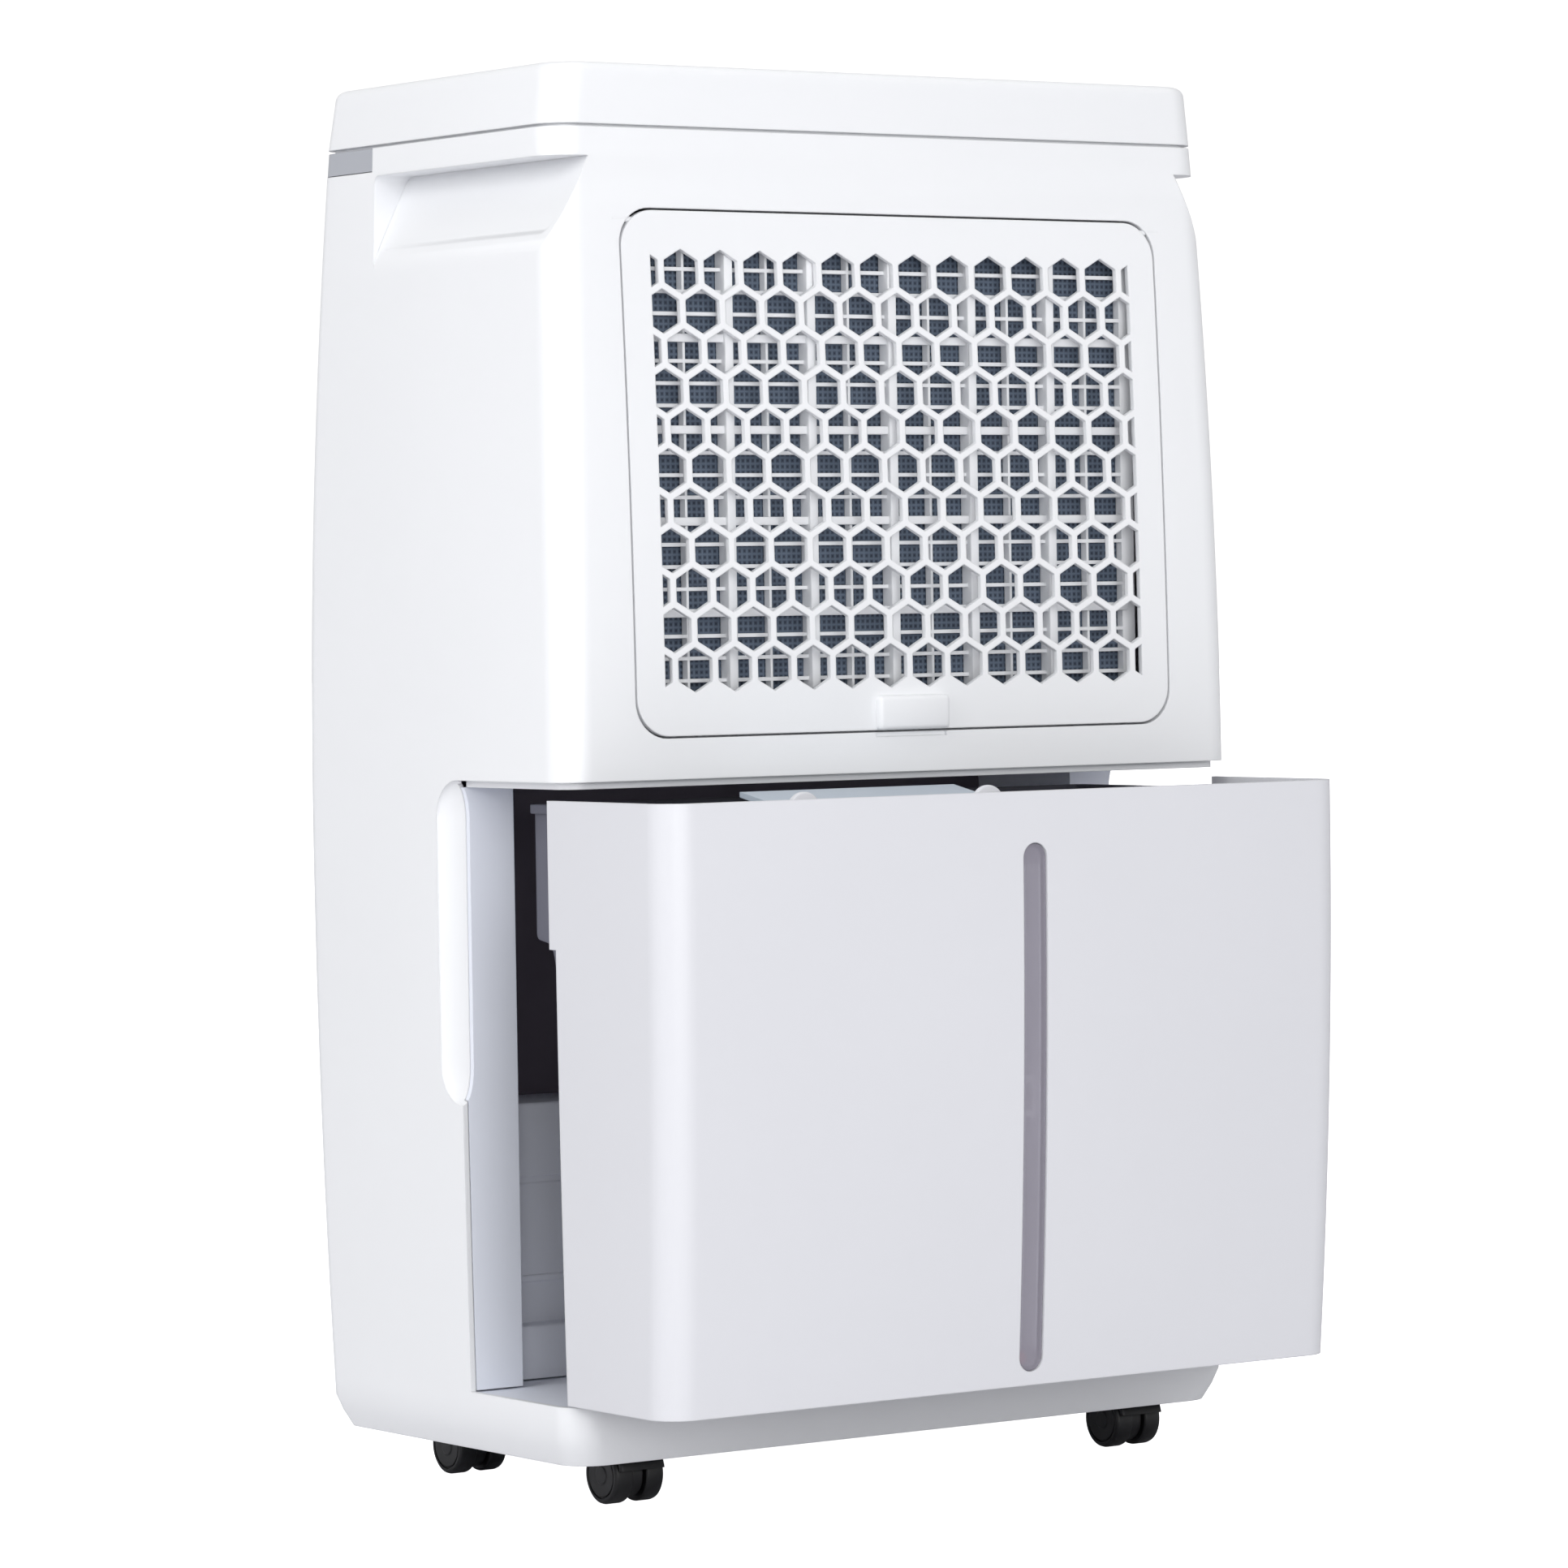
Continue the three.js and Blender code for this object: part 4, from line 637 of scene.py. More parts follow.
# %% Front panel and silver band
def make_front_panel():
    levels = levels_between(SKIRT_FOOT, BAND_FOOT - FIT_GAP)
    skin = cut(loft(cabinet_profile, levels, 0), cabinet_inside(WALL))
    within(skin, slab(FRONT_SEAM - FIT_GAP, 80, WIDE, 0, 600))
    for side in SIDES:
        x = side * 148
        rib = within(block(x - 1.2, x + 1.2, 82, WIDE, 60, 540), cabinet_inside(WALL - 0.1))
        join(skin, rib)
    return skin


def make_band():
    levels = [BAND_FOOT + 10 * k / 4 for k in range(5)]
    inside = [BAND_FOOT - 1, *levels, BAND_TOP + 1]
    ring = cut(loft(cabinet_profile, levels, 0.15), loft(cabinet_profile, inside, WALL))
    return within(ring, slab(WIDE, BAND_END, WIDE, 0, 600))


done(make_front_panel(), "front_cover", "machine", WHITE, ["front_panel"])
done(make_band(), "silver_band", "machine", SILVER, ["accent_band"])

# %% [markdown]
# ## Lid, grille and keys
# The lid closes the top, rounded over at its edge. The air leaves through a grille of leaning
# slats, and a gloss-black strip beside it holds six round keys and a display window.

# %% Lid
PANEL_Y = 60
GRILLE_Y = -36
PANEL_WIDTH = 232
PANEL_DEPTH = 44
GRILLE_DEPTH = 78
LID_ROUND = 4


def lid_profile(z):
    base = cabinet_profile(CABINET_TOP)
    t = (z - LID_FOOT) / (HEIGHT - LID_FOOT)
    roll = max(0, (z - (HEIGHT - LID_ROUND)) / LID_ROUND)
    edge = 3.4 * (1 - math.sqrt(max(0, 1 - roll * roll)))
    lean = 3 * t + edge
    return {"side": base["side"] - lean, "rear": base["rear"] - edge, "front": base["front"] - lean}


def panel_outline(width, depth, y, corner, shrink=0.0):
    half = width / 2 - shrink
    reach = depth / 2 - shrink
    return rounded_rectangle(-half, half, y - reach, y + reach, corner)


def make_lid():
    levels = [LID_FOOT + k * 4 for k in range(6)]
    levels += [HEIGHT - 4 + 4 * math.sin(math.pi / 2 * k / 6) for k in range(7)]
    lid = loft(lid_profile, levels, 0)
    cut(lid, loft(lambda z: lid_profile(max(z, LID_FOOT)), [LID_FOOT - 3, LID_FOOT + 10, HEIGHT - 3], WALL))
    tongue = loft(lambda z: cabinet_profile(CABINET_TOP), [LID_FOOT - 5, LID_FOOT + 2], WALL + FIT_GAP)
    cut(tongue, loft(lambda z: cabinet_profile(CABINET_TOP), [LID_FOOT - 6, LID_FOOT + 3], WALL + 2.4))
    strip = loft(lambda z: cabinet_profile(CABINET_TOP), [LID_FOOT, LID_FOOT + 2], WALL - 0.5)
    cut(strip, loft(lambda z: cabinet_profile(CABINET_TOP), [LID_FOOT - 1, LID_FOOT + 3], WALL + 2.4))
    seat = prism(panel_outline(PANEL_WIDTH, PANEL_DEPTH, PANEL_Y, 8, -2), "z", HEIGHT - 7.7, HEIGHT - 1)
    join(lid, tongue, strip, seat)
    cut(lid, prism(panel_outline(PANEL_WIDTH, PANEL_DEPTH, PANEL_Y, 7), "z", HEIGHT - 4.5, HEIGHT + 1))
    cut(lid, prism(panel_outline(PANEL_WIDTH, PANEL_DEPTH, PANEL_Y, 5, 6), "z", LID_FOOT, HEIGHT))
    return cut(lid, prism(panel_outline(PANEL_WIDTH, GRILLE_DEPTH, GRILLE_Y, 6), "z", LID_FOOT, HEIGHT + 1))


done(make_lid(), "lid_shell", "machine", WHITE, ["top_lid"])

# %% [markdown]
# Each slat leans so that a falling object or a glance from above finds no straight way in. A
# spine underneath ties the slats together.

# %% Grille
def make_grille():
    outer = panel_outline(PANEL_WIDTH, GRILLE_DEPTH, GRILLE_Y, 5.6, FIT_GAP)
    inner = panel_outline(PANEL_WIDTH, GRILLE_DEPTH, GRILLE_Y, 3, 5)
    frame_ring = prism(outer, "z", HEIGHT - 8, HEIGHT - 0.6)
    cut(frame_ring, prism(inner, "z", HEIGHT - 9, HEIGHT + 1))
    pitch = 68 / 8
    for i in range(8):
        y = GRILLE_Y - 34 + pitch * (i + 0.5)
        slat = [(y - 2.2, HEIGHT - 8), (y - 0.9, HEIGHT - 8), (y + 2.2, HEIGHT - 1), (y + 0.9, HEIGHT - 1)]
        join(frame_ring, prism(soften(slat, 0.45, 3), "x", -112, 112))
    return join(frame_ring, slab(1.2, GRILLE_Y - 35, GRILLE_Y + 35, HEIGHT - 8, HEIGHT - 5))


done(make_grille(), "outlet_grille", "machine", SILVER, ["exhaust_grille"])

# %% Control strip, display and keys
PANEL_TOP = HEIGHT - 1.2
KEYS = {"power": -97, "mode": -71, "fan": -45, "humidity_up": 45, "humidity_down": 71, "timer": 97}


def make_strip():
    outline = panel_outline(PANEL_WIDTH, PANEL_DEPTH, PANEL_Y, 6.6, FIT_GAP)
    strip = prism(outline, "z", PANEL_TOP - 3, PANEL_TOP)
    for x in KEYS.values():
        cut(strip, rod("z", x, PANEL_Y, PANEL_TOP - 9, PANEL_TOP + 1, 8, 64))
    return cut(strip, prism(rounded_rectangle(-26, 26, 47, 73, 3), "z", PANEL_TOP - 1.4, PANEL_TOP + 1))


def make_key(x):
    cap = [(PANEL_TOP - 2.2, 7.3), (PANEL_TOP - 1.8, 7.5), (HEIGHT - 0.8, 7.5), (HEIGHT - 0.25, 7.2)]
    cap += [(HEIGHT, 6.6), (HEIGHT - 0.15, 5.8), (HEIGHT - 0.55, 4.5)]
    cap += [(HEIGHT - 0.8, 2.5), (HEIGHT - 0.85, 0)]
    key = turned("z", x, PANEL_Y, cap, 64)
    return join(key, rod("z", x, PANEL_Y, PANEL_TOP - 9.5, PANEL_TOP - 2, 3, 24))


done(make_strip(), "control_strip", "machine", BLACK, ["control_panel"])
view = prism(rounded_rectangle(-25.65, 25.65, 47.35, 72.65, 2.7), "z", PANEL_TOP - 1.05, PANEL_TOP)
done(view, "display_glass", "machine", SMOKE, ["display_window"])
for key, x in KEYS.items():
    done(make_key(x), f"key_cap_{key}", f"key_{key}", SILVER, [f"button_{key}"])

# %% [markdown]
# ## The bay
# Behind the bucket is a lined bay. Its mouth plate closes the gap between the liner and the skin,
# a bulkhead painted dark for the shade deep in the bay hides the compressor, and a pale pump housing stands
# in the left corner.

# %% Bay liner
def make_liner():
    wall_x = BAY_HALF + 2.5
    roof = BAY_ROOF + 0.3
    foot = BAY_FLOOR + FIT_GAP
    liner = slab(wall_x, BAY_MOUTH, BAY_BACK, foot, roof + 2.5)
    cut(liner, slab(BAY_HALF, BAY_MOUTH - 1, BAY_BACK + 1, foot - 1, roof))
    plate = within(cabinet_inside(WALL + FIT_GAP), slab(WIDE, BAY_MOUTH, BAY_MOUTH + 2.5, foot, BAY_ROOF))
    cut(plate, slab(BAY_HALF, BAY_MOUTH - 1, WIDE, 0, 600))
    roof_plate = within(cabinet_inside(7.75), slab(WIDE, -WIDE, BAY_MOUTH + 2.5, roof, roof + 2.5))
    join(liner, plate, roof_plate)
    for side in SIDES:
        cut(liner, scoop(side, 0.3))
    cut(liner, rod("z", -45, -54, roof - 2, roof + 5, 5.6))
    edge = cabinet_profile(DRAIN_Z)["side"]
    return cut(liner, rod("x", DRAIN_Y, DRAIN_Z, edge - 40, edge, 20))


done(make_liner(), "bay_lining", "machine", BLUE_GREY, ["bay_liner"])

# %% Bulkhead and pump housing
BULKHEAD_FRONT = 12
BULKHEAD_BACK = 49
SHEET = 2.5
PUMP_WIDTH = 92
PUMP_FRONT = 6
PUMP_SEAM = 132.2
PUMP_TOP = 167
PUMP_BACK = BULKHEAD_BACK - 0.5


def make_bulkhead():
    foot = BAY_FLOOR + 0.3
    roof = BAY_ROOF - 0.05
    reach = BULKHEAD_BACK + SHEET
    face = [(reach, foot, 0), (reach, roof, 0), (BULKHEAD_BACK, roof, 0), (BULKHEAD_BACK, foot + 190, 6)]
    face += [(BULKHEAD_FRONT + 18, foot + 181, 14), (BULKHEAD_FRONT, foot + 113, 20)]
    face += [(BULKHEAD_FRONT, foot, 0)]
    inner = [(reach + 1, foot - 1, 0), (reach + 1, roof - 30, 0), (reach - 0.01, roof - 30, 0)]
    inner += [(reach - 0.01, foot + 187, 0), (BULKHEAD_FRONT + 20.4, foot + 179, 12)]
    inner += [(BULKHEAD_FRONT + SHEET, foot + 112, 18), (BULKHEAD_FRONT + SHEET, foot - 1, 0)]
    cover = prism(soften(face, 0), "x", -58, BAY_HALF - FIT_GAP)
    cut(cover, prism(soften(inner, 0), "x", SHEET - 58, BAY_HALF - FIT_GAP - SHEET))
    return join(cover, block(FIT_GAP - BAY_HALF, -57, BULKHEAD_BACK, reach, foot, roof))


def make_pump_housing():
    left = 1 - BAY_HALF
    right_x = left + PUMP_WIDTH
    low = block(left, right_x, PUMP_FRONT, PUMP_BACK, BAY_FLOOR - 4, PUMP_SEAM, 1.6)
    inset = PUMP_FRONT + 0.7
    groove = block(left + 0.7, right_x - 0.7, inset, PUMP_BACK - 0.1, PUMP_SEAM - 0.7, PUMP_SEAM + 2.3)
    high = block(left, right_x, PUMP_FRONT, PUMP_BACK, PUMP_SEAM + 1.7, PUMP_TOP, 1.6)
    step = block(left, left + 40, PUMP_FRONT - 9, PUMP_FRONT + 2, BAY_FLOOR - 4, 70, 1.5)
    housing = join(low, groove, high, step)
    hollow_back = PUMP_BACK - SHEET
    cut(housing, block(left + SHEET, right_x - SHEET, PUMP_FRONT + 3.5, hollow_back, 0, PUMP_TOP - SHEET))
    cut(housing, block(-200, 0, -20, 60, 0, BAY_FLOOR + 0.3))
    return join(housing, block(left + 6, right_x - 6, PUMP_FRONT - 0.8, PUMP_FRONT + 2, 88, 91, 0.6))


# The bulkhead gets the dark painted shade of the deep bay.
done(make_bulkhead(), "bay_bulkhead", "machine", BAY_SHADE_CHARCOAL, ["bulkhead"])
done(make_pump_housing(), "pump_cover", "machine", PUMP_GREY, ["pump_housing"])

# %% [markdown]
# ## The bucket
# The bucket's front is a curved panel that carries on the cabinet's barrel, with wings that reach
# back along the sides. Its tank is a plain grey box that slopes away behind to clear the bulkhead.

# %% Bucket front
TANK_HALF = 148.5
TANK_FRONT = -86
TANK_FOOT = 50
TANK_TOP = 300
TANK_BACK = 44
STEP_Z = 241.5
BAIL_Y = -78
BAIL_Z = 288
WINDOW = {"x": 9, "half": 6.35, "foot": 53.2, "top": 281.2}


def make_bucket_front():
    levels = levels_between(BUCKET_FOOT, BUCKET_TOP)
    front = loft(bucket_profile, levels, 0)
    cut(front, loft(bucket_profile, [BUCKET_FOOT - 1, *levels[1:-1], BUCKET_TOP + 1], WALL))
    low = slab(WIDE, -WIDE, BAY_MOUTH - 0.6, BUCKET_FOOT, STEP_Z)
    high = slab(WIDE, -WIDE, BAY_MOUTH + 4.4, STEP_Z - 1, BUCKET_TOP)
    within(front, join(low, high))
    for x in (-112, -58, 74, 122):
        rib = block(x - 1.2, x + 1.2, -WIDE, TANK_FRONT - FIT_GAP, BUCKET_FOOT + 12, BUCKET_TOP - 16)
        join(front, within(rib, loft(bucket_profile, levels, WALL - 0.2)))
    slot = rounded_rectangle(
        WINDOW["x"] - 6.35, WINDOW["x"] + 6.35, WINDOW["foot"], WINDOW["top"], 6.34, steps=14
    )
    return cut(front, prism(slot, "y", -WIDE, TANK_FRONT))


# The bucket face wears the darker white, painted shade for the dimmer light on it.
done(make_bucket_front(), "bucket_face", "bucket", SHADED_BUCKET_WHITE, ["bucket_front"], PULLED)

# %% Tank
tank_outline = [
    (TANK_FRONT, TANK_FOOT, 7), (-4, TANK_FOOT, 9), (-4, 150, 20), (22.5, 206, 20),
    (32, STEP_Z - 2, 7), (TANK_BACK, STEP_Z, 3), (TANK_BACK, TANK_TOP, 0), (TANK_FRONT, TANK_TOP, 0),
]
tank_inside = [
    (TANK_FRONT + 2.2, TANK_FOOT + 2.2, 5), (-6.2, TANK_FOOT + 2.2, 7), (-6.2, 150.4, 19),
    (20.2, 207, 19), (29.9, STEP_Z + 0.1, 7), (TANK_BACK - 2.2, STEP_Z + 2.2, 3),
    (TANK_BACK - 2.2, TANK_TOP + 5, 0), (TANK_FRONT + 2.2, TANK_TOP + 5, 0),
]


def make_tank():
    tank = prism(soften(tank_outline, 0), "x", -TANK_HALF, TANK_HALF)
    rim_foot = TANK_TOP - 4
    rim = [(TANK_FRONT, rim_foot), (TANK_BACK, rim_foot), (TANK_BACK, TANK_TOP), (TANK_FRONT, TANK_TOP)]
    join(tank, prism(soften(rim, 0.8, 3), "x", -TANK_HALF - 2.4, TANK_HALF + 2.4))
    cut(tank, prism(soften(tank_inside, 0), "x", 2.2 - TANK_HALF, TANK_HALF - 2.2))
    for x in (59, 87):
        join(tank, block(x, x + 2, 32, 43, 287, 295))
    cut(tank, rod("x", BAIL_Y, BAIL_Z, -TANK_HALF - 3, TANK_HALF + 3, 3.1, 32))
    return cut(tank, rod("x", 36, 291, 58, 90, 1.6, 24))


done(make_tank(), "tank_body", "bucket", TANK, ["bucket_tank"], PULLED)

# %% [markdown]
# The water level shows in a narrow smoked window, where a red ball rides up a channel between two
# slim rails. A clip part way up holds the rails together.

# %% Window and ball
def make_lens():
    half = WINDOW["half"] - FIT_GAP
    low = WINDOW["foot"] + FIT_GAP
    high = WINDOW["top"] - FIT_GAP
    back = TANK_FRONT - FIT_GAP
    levels = levels_between(BUCKET_FOOT, BUCKET_TOP)
    outline = rounded_rectangle(WINDOW["x"] - half, WINDOW["x"] + half, low, high, half - 0.01, steps=14)
    lens = within(prism(outline, "y", -WIDE, back), loft(bucket_profile, levels, 0.9))
    room = half - 1.4
    channel = rounded_rectangle(
        WINDOW["x"] - room, WINDOW["x"] + room, low + 1.4, high - 1.4, half - 1.41, steps=14
    )
    hollow = within(prism(channel, "y", -WIDE, back + 1), loft(bucket_profile, levels, 2.3))
    cut(lens, hollow)
    return lens


def make_guide():
    levels = levels_between(BUCKET_FOOT, BUCKET_TOP)
    inside = loft(bucket_profile, levels, 2.5)
    guide = block(4.6, 13.4, -98.5, -94, 163, 181, 0.5)
    cut(guide, block(6.4, 11.6, -100, -92, 166, 178))
    for x in (4.7, 12.5):
        join(guide, within(block(x, x + 0.8, -WIDE, TANK_FRONT - 0.4, 63, 272), copy_of(inside)))
    bpy.data.objects.remove(inside)
    return guide


done(make_lens(), "level_window", "bucket", WINDOW_SMOKE, ["window_lens"], PULLED)
done(make_guide(), "window_guide", "bucket", RIB_WHITE, (), PULLED)
BALL_Z = 58.35
BALL_RADIUS = 3.08
turns = [math.pi * k / 20 for k in range(21)]
ball_profile = [(BALL_Z - BALL_RADIUS * math.cos(turn), BALL_RADIUS * math.sin(turn)) for turn in turns]
ball = turned("z", WINDOW["x"], -89.95, ball_profile, 40)
done(ball, "red_ball", "ball", RED, ["level_ball"], PULLED)

# %% [markdown]
# Over the left half of the tank lies a sloped cover with two round lugs, where water from the
# tray above runs in. A folding bail lies flat along the rim, and a foam float stops the machine
# when the bucket is full.

# %% Cover, bail and float
COVER_LEFT = -103
COVER_RIGHT = 10
COVER_DEPTH = 37
LUG_RADIUS = 8.3


def make_cover():
    front = TANK_FRONT + 2.55
    back = front + COVER_DEPTH
    top = TANK_TOP - 1.5
    plate = [(front, top - 2.5), (back, top + 4.5), (back, top + 7), (front, top)]
    cover = prism(soften(plate, 0.6, 3), "x", COVER_LEFT, COVER_RIGHT)
    for x in (COVER_LEFT, COVER_RIGHT - 2):
        join(cover, block(x, x + 2, front, back, top - 31, top - 0.6, 0.3, 2))
    return cover


def make_lugs():
    front = TANK_FRONT + 2.3
    lugs = []
    for x in (COVER_LEFT + 8, COVER_RIGHT - 8):
        lugs.append(soft_rod("y", x, TANK_TOP - 2.5, front, front + 3, LUG_RADIUS, 0.9, 48))
    return join(*lugs)


def make_bail():
    reach = TANK_HALF - 2.7
    bail = block(-reach, reach, -40, -32, 284.5, 291.5, 2, 4)
    for side in SIDES:
        near = reach - 3 if side > 0 else -reach
        pin = reach - 1 if side > 0 else -reach - 2.5
        join(bail, block(near, near + 3, -78, -36, 284.5, 291.5, 1, 3))
        join(bail, rod("x", BAIL_Y, BAIL_Z, near, near + 3, 5))
        join(bail, rod("x", BAIL_Y, BAIL_Z, pin, pin + 3.5, 3, 32))
    return bail


def make_float():
    lever = block(70, 78, 0, 36, 289, 293, 1, 3)
    return join(lever, rod("x", 36, 291, 59.4, 88.6, 1.5, 24), block(56, 92, -16, 6, 277, 292, 3, 4))


done(make_cover(), "tank_cover", "bucket", COOL_GREY, ["bucket_cover"], PULLED)
# The lugs wear the bucket's darker white, the same painted shade as the bucket face.
done(make_lugs(), "cover_lugs", "bucket", SHADED_BUCKET_WHITE, (), PULLED)
done(make_bail(), "bail", "bucket_bail", COOL_GREY, ["bucket_handle"], PULLED)
done(make_float(), "foam_float", "float_arm", FOAM, ["bucket_float"], PULLED)

# %% [markdown]
# ## The filter door
# The door carries on the barrel, pierced by rows of six-sided cells. A thin rib between cells
# keeps fingers out and lets air in. Two cells over the finger tab stop short of it.

# %% Honeycomb door
HEX_PITCH = 20.6
HEX_SQUASH = 0.953
HEX_ROW = HEX_PITCH * HEX_SQUASH * math.sqrt(3) / 2
HEX_RADIUS = (HEX_PITCH - 3) / math.sqrt(3)
DOOR_MIDDLE = (DOOR_FOOT + DOOR_TOP) / 2
FIELD_HALF = 129


def hex_outline(x, z, radius):
    points = []
    for i in range(6):
        turn = math.pi / 6 + i * math.pi / 3
        points.append((x + radius * math.cos(turn), z + HEX_SQUASH * radius * math.sin(turn)))
    return soften(points, 0.7, 3)


def honeycomb():
    cells = None
    for row in range(11):
        count = 13 if row % 2 else 14
        z = DOOR_MIDDLE + 1 + (row - 5) * HEX_ROW
        for i in range(count):
            x = (i - (count - 1) / 2) * HEX_PITCH
            cell = prism(hex_outline(x, z, HEX_RADIUS), "y", -115, -78)
            cells = cell if cells is None else merge(cells, cell)
    return cells


def merge(first, second):
    grown = bmesh.new()
    grown.from_mesh(first.data)
    grown.from_mesh(second.data)
    grown.to_mesh(first.data)
    grown.free()
    bpy.data.objects.remove(second)
    return first


def make_door():
    half = 143.55
    foot = DOOR_FOOT + 0.45
    top = DOOR_TOP - 0.45
    door = loft(cabinet_profile, levels_between(foot - 5, top + 5, 6), 0)
    cut(door, loft(cabinet_profile, levels_between(foot - 6, top + 6, 6), WALL))
    within(door, prism(rounded_rectangle(-half, half, foot, top, 16.4, steps=12), "y", -WIDE, -80))
    holes = within(honeycomb(), slab(FIELD_HALF, -WIDE, 0, 0, HEIGHT))
    cut(door, cut(holes, slab(TAB_HALF + 2, -WIDE, 0, 0, foot + TAB_HEIGHT + 1.5)))
    join(door, block(-TAB_HALF, TAB_HALF, -109.8, -103.4, foot, foot + TAB_HEIGHT, 2, 4))
    for side in SIDES:
        pin = half - 9 if side > 0 else 1.6 - half
        lug = half - 13 if side > 0 else 7.6 - half
        lug_block = block(lug, lug + 5.4, HINGE_Y - 1, HINGE_Y + 2.4, HINGE_Z - 3, HINGE_Z + 1.2)
        join(door, rod("x", HINGE_Y, HINGE_Z, pin, pin + 7.4, 1.2, 12), lug_block)
    return door


done(make_door(), "honeycomb_door", "door", WHITE, ["filter_door"])

# %% [markdown]
# Behind the honeycomb clips the filter: a ribbed frame with a net stretched over it. The net sags
# by a hair between the ribs, so it is made as a fine sheet pushed in and out by a smooth wave.

# %% Filter frame and net
FILTER_FRONT = -93.6
FILTER_HALF = 135
FILTER_FOOT = 337
FILTER_TOP = 544.5
FILTER_BORDER = 7
UPRIGHT = 4.4
FINE_UPRIGHT = 1.2
FINE_BAR = 1.9


def make_filter_frame():
    outline = rounded_rectangle(-FILTER_HALF, FILTER_HALF, FILTER_FOOT, FILTER_TOP, 9)
    back = FILTER_FRONT + 4
    ribs = prism(outline, "y", FILTER_FRONT, back)
    cell_width = (FILTER_HALF * 2 - FILTER_BORDER * 2 + UPRIGHT) / 6
    cell_height = (FILTER_TOP - FILTER_FOOT - FILTER_BORDER * 2 + 3) / 5
    left = FILTER_BORDER - FILTER_HALF
    low = FILTER_FOOT + FILTER_BORDER
    width = (cell_width - UPRIGHT - FINE_UPRIGHT) / 2
    openings = None
    for column in range(12):
        x = left + column // 2 * cell_width
        x += (cell_width - UPRIGHT + FINE_UPRIGHT) / 2 if column % 2 else 0
        for row in range(20):
            z = low + row // 4 * cell_height + row % 4 * (cell_height - 1.1) / 4
            opening = block(x, x + width, FILTER_FRONT - 1, back + 1, z, z + cell_height / 4 - FINE_BAR)
            openings = opening if openings is None else merge(openings, opening)
    cut(ribs, openings)
    inside = FILTER_FRONT + 1
    for column in range(1, 6):
        x = left + column * cell_width - UPRIGHT
        upright = block(x, x + UPRIGHT, FILTER_FRONT - 3, inside, FILTER_FOOT + 4, FILTER_TOP - 8, 0.4, 2)
        join(ribs, upright)
    for row in range(1, 5):
        z = low + row * cell_height - 3.4
        bar = block(5 - FILTER_HALF, FILTER_HALF - 5, FILTER_FRONT - 1.5, inside, z, z + 3.6, 0.4, 2)
        join(ribs, bar)
    return ribs


def make_net():
    columns = 120
    rows = 96
    half = FILTER_HALF - 2
    points = []
    for back in (0, 1):
        for r in range(rows + 1):
            for c in range(columns + 1):
                u = c / columns
                v = r / rows
                sag = 0.25 * abs(math.sin(math.pi * 6 * u) * math.sin(math.pi * 5 * v))
                y = FILTER_FRONT + 4.35 + sag + back * 0.4
                z = FILTER_FOOT + 2 + (FILTER_TOP - FILTER_FOOT - 4) * v
                points.append((-half + 2 * half * u, y, z))
    width = columns + 1
    layer = width * (rows + 1)
    faces = []
    for r in range(rows):
        for c in range(columns):
            a = r * width + c
            faces.append((a, a + 1, a + width + 1, a + width))
            faces.append((layer + a, layer + a + width, layer + a + width + 1, layer + a + 1))
    rim = [c for c in range(columns)] + [columns + r * width for r in range(rows)]
    rim += [rows * width + c for c in range(columns, 0, -1)] + [r * width for r in range(rows, 0, -1)]
    for a, b in zip(rim, rim[1:] + rim[:1]):
        faces.append((a, layer + a, layer + b, b))
    return make(points, faces)


done(make_filter_frame(), "filter_ribs", "door", RIB_WHITE, ["air_filter"])
done(make_net(), "filter_net", "door", NET, ["filter_mesh"])

# %% [markdown]
# ## Castors
# Four twin-wheel castors of black nylon carry the machine. Each wheel is turned: a tread with
# rounded shoulders, a groove inside the rim, and a dished hub face. The fork's hood arches over.

# %% Castor forks and wheels
CASTORS = {
    "rear_left": (-136, -67), "rear_right": (136, -67),
    "front_left": (-136, 58), "front_right": (136, 58),
}
WHEEL_RADIUS = 12.5
WEB = 3.0


def make_fork(x, y):
    axle_y = y - 8
    web = [(x - WEB, 9.7), (x - WEB + 0.6, 10.3), (x + WEB - 0.6, 10.3), (x + WEB, 9.7)]
    fork = turned("x", axle_y, WHEEL_RADIUS, web)
    join(fork, block(x - WEB, x + WEB, axle_y, y + 3.5, WHEEL_RADIUS, 26, 0.8, 3))
    hood = soft_rod("x", axle_y, WHEEL_RADIUS, x - 11.3, x + 11.3, 15.3, 1.2, 64)
    cut(hood, rod("x", axle_y, WHEEL_RADIUS, x - 13, x + 13, 13.4, 64))
    within(hood, block(x - 30, x + 30, y - 40, y + 30, 15.5, 40))
    join(fork, hood, soft_rod("z", x, y, 25, 40, 4, 0.6, 32))
    return join(fork, rod("x", axle_y, WHEEL_RADIUS, x - 10.5, x + 10.5, 2, 24))


def make_castor_wheel(x, y, side):
    near = WEB + 0.5
    far = 12.5
    steps = [(near, 11.6), (near + 0.5, 12.3), (near + 1.2, 12.5), (far - 1.8, 12.5), (far - 0.8, 12.2)]
    steps += [(far - 0.1, 11.3), (far, 10.6), (far - 0.05, 10.2), (far - 0.8, 10.0), (far - 0.8, 9.5)]
    steps += [(far - 0.15, 9.3), (far - 0.1, 8.6), (far - 0.5, 5.4), (far - 0.45, 4.2)]
    steps += [(far - 0.1, 3.8), (far, 0)]
    profile = [(x + side * t, r) for t, r in steps]
    wheel = turned("x", y - 8, WHEEL_RADIUS, profile, 72)
    low, high = sorted((x + side * (near - 1), x + side * (far - 1.5)))
    return cut(wheel, rod("x", y - 8, WHEEL_RADIUS, low, high, 2.3, 24))


for name, (x, y) in CASTORS.items():
    done(make_fork(x, y), f"fork_{name}", f"castor_{name}", NYLON, [f"castor_fork_{name}"])
    for side, letter in zip(SIDES, "ab"):
        wheel = make_castor_wheel(x, y, side)
        body = f"roller_{name}_{letter}"
        done(wheel, f"tyre_{name}_{letter}", body, NYLON, [f"wheel_{name}_{letter}"])

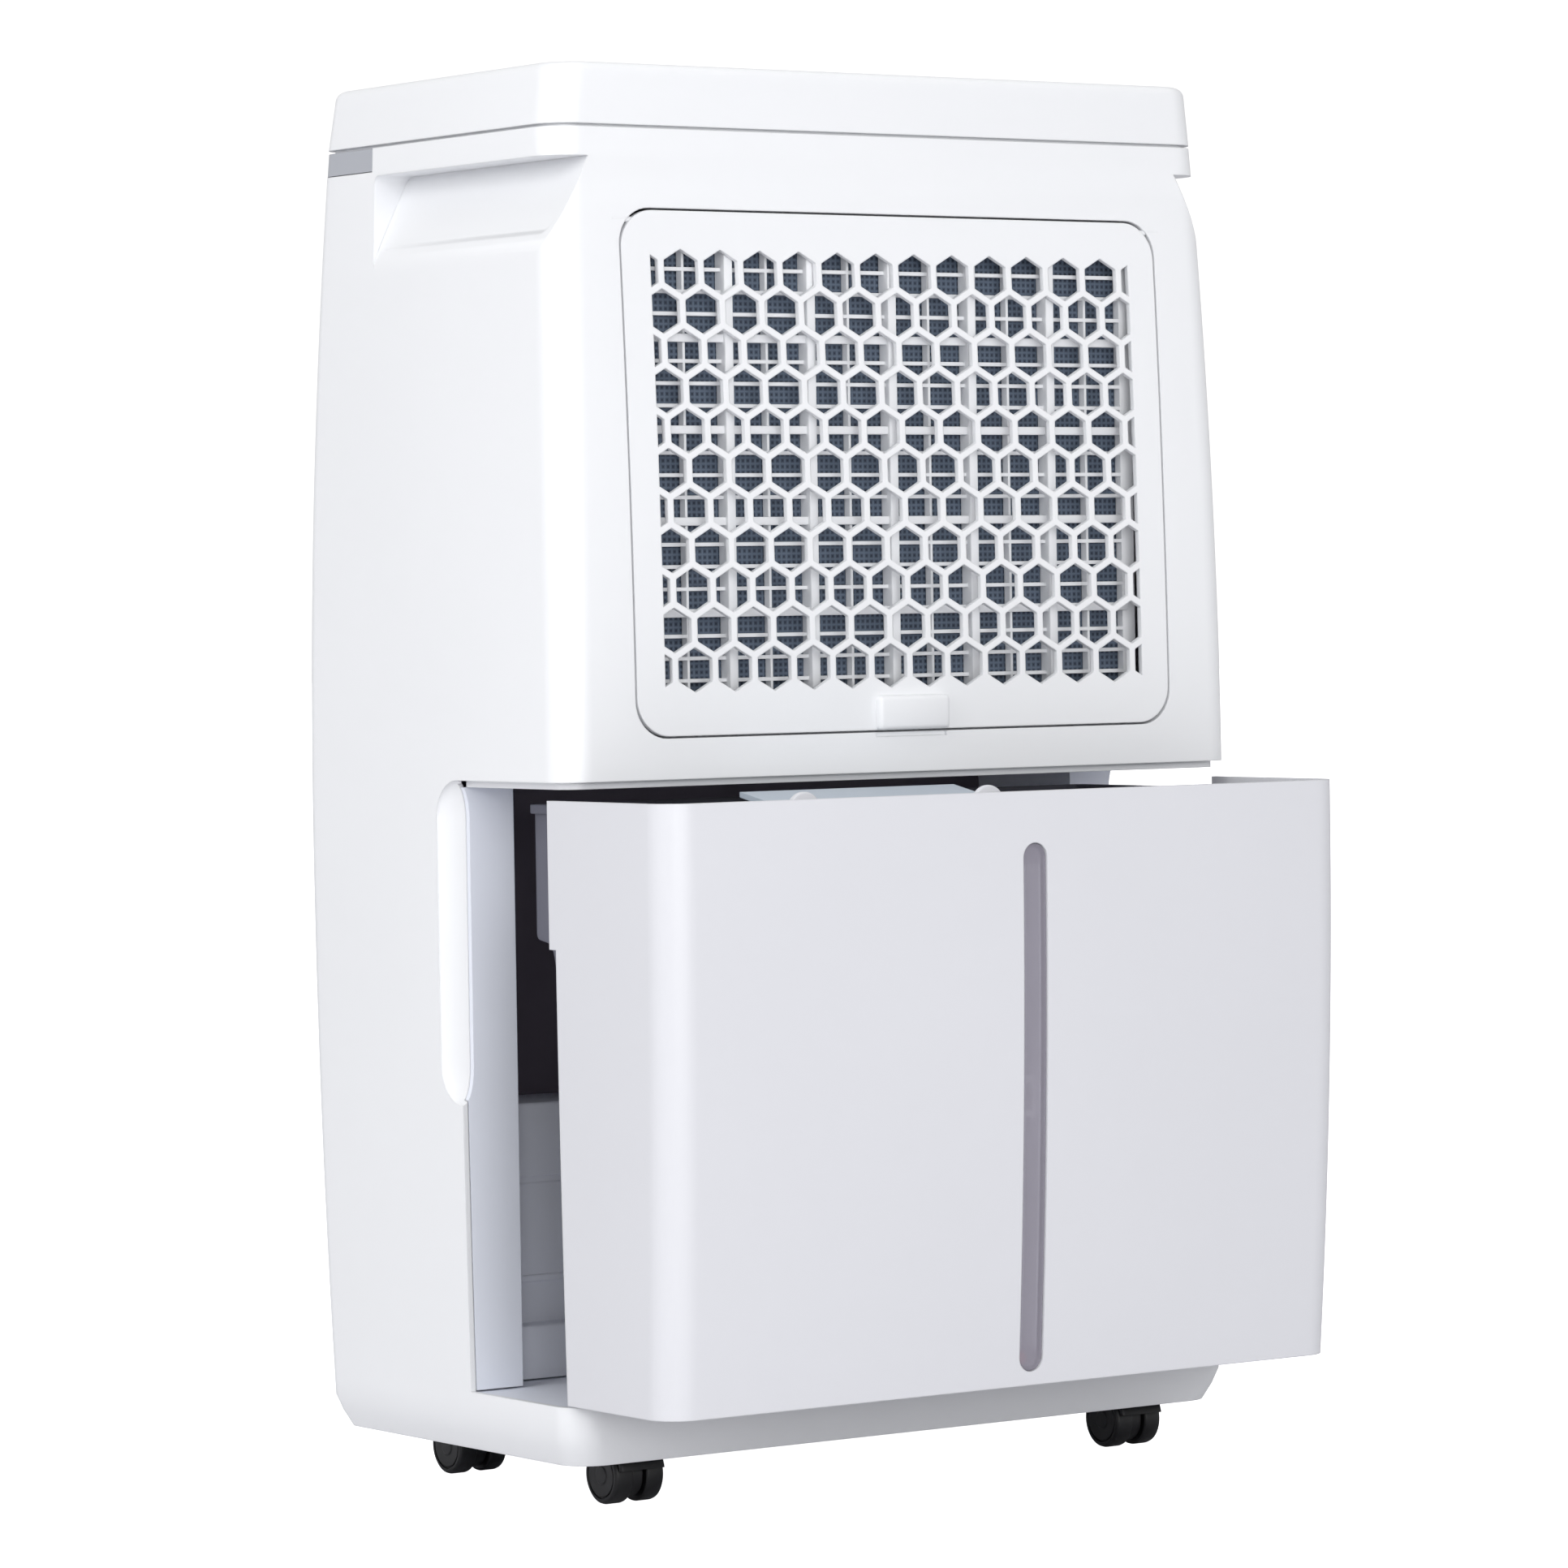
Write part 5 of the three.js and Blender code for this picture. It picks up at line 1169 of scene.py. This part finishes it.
# %% [markdown]
# ## Drain and cord inlet
# A screw cap closes the hose outlet in a round well in the right side, and the mains lead enters
# below it through a ringed grommet.

# %% Drain cap and inlet
def make_drain_cap():
    edge = cabinet_profile(DRAIN_Z)["side"]
    cap = soft_rod("x", DRAIN_Y, DRAIN_Z, edge - 14.6, edge - 0.8, 11.5, 1.0, 72)
    for i in range(24):
        turn = 2 * math.pi * i / 24
        y = DRAIN_Y + 11.9 * math.cos(turn)
        z = DRAIN_Z + 11.9 * math.sin(turn)
        cut(cap, rod("x", y, z, edge - 13, edge, 0.8, 12))
    return cut(cap, rod("x", DRAIN_Y, DRAIN_Z, edge - 15, edge - 2.6, 7.35))


def make_inlet():
    edge = cabinet_profile(LEAD_Z)["side"]
    outline = [(edge - 6, 11), (edge - 2.95, 11), (edge - 2.94, 8), (edge + 0.6, 8), (edge + 1.1, 7.4)]
    ring = turned("x", LEAD_Y, LEAD_Z, outline)
    return cut(ring, rod("x", LEAD_Y, LEAD_Z, edge - 20, edge + 5, 4))


done(make_drain_cap(), "hose_cap", "machine", BLUE_GREY, ["drain_cap"])
done(make_inlet(), "lead_grommet", "machine", BLACK, ["cord_inlet"])

# %% [markdown]
# ## Inner pieces
# The pieces inside keep their engineering solids. Each gets a finish, and the finishes made by the plastic
# recipe round its edges a little in the shading.

# %% Finishes for the carried-over pieces
INNER = {
    "base_pan": BLUE_GREY, "control_board": BOARD, "bucket_switch": BLACK, "evaporator": FINS,
    "condenser": FINS, "drip_tray": RIB_WHITE, "fan_shroud": BLACK, "fan_scroll": BLACK,
    "blower_wheel": BLACK, "fan_motor": ZINC, "compressor": BLACK_STEEL, "accumulator": BLACK_STEEL,
    "compressor_bracket": ZINC, "discharge_tube": COPPER, "suction_tube": COPPER,
    "filter_drier": COPPER, "control_box": BLACK, "humidity_sensor": RIB_WHITE,
    "drain_outlet": RIB_WHITE,
}
for name, finish in INNER.items():
    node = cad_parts[name]
    node.data.materials.clear()
    node.data.materials.append(finish)
print("finished", len(INNER), "inner pieces")
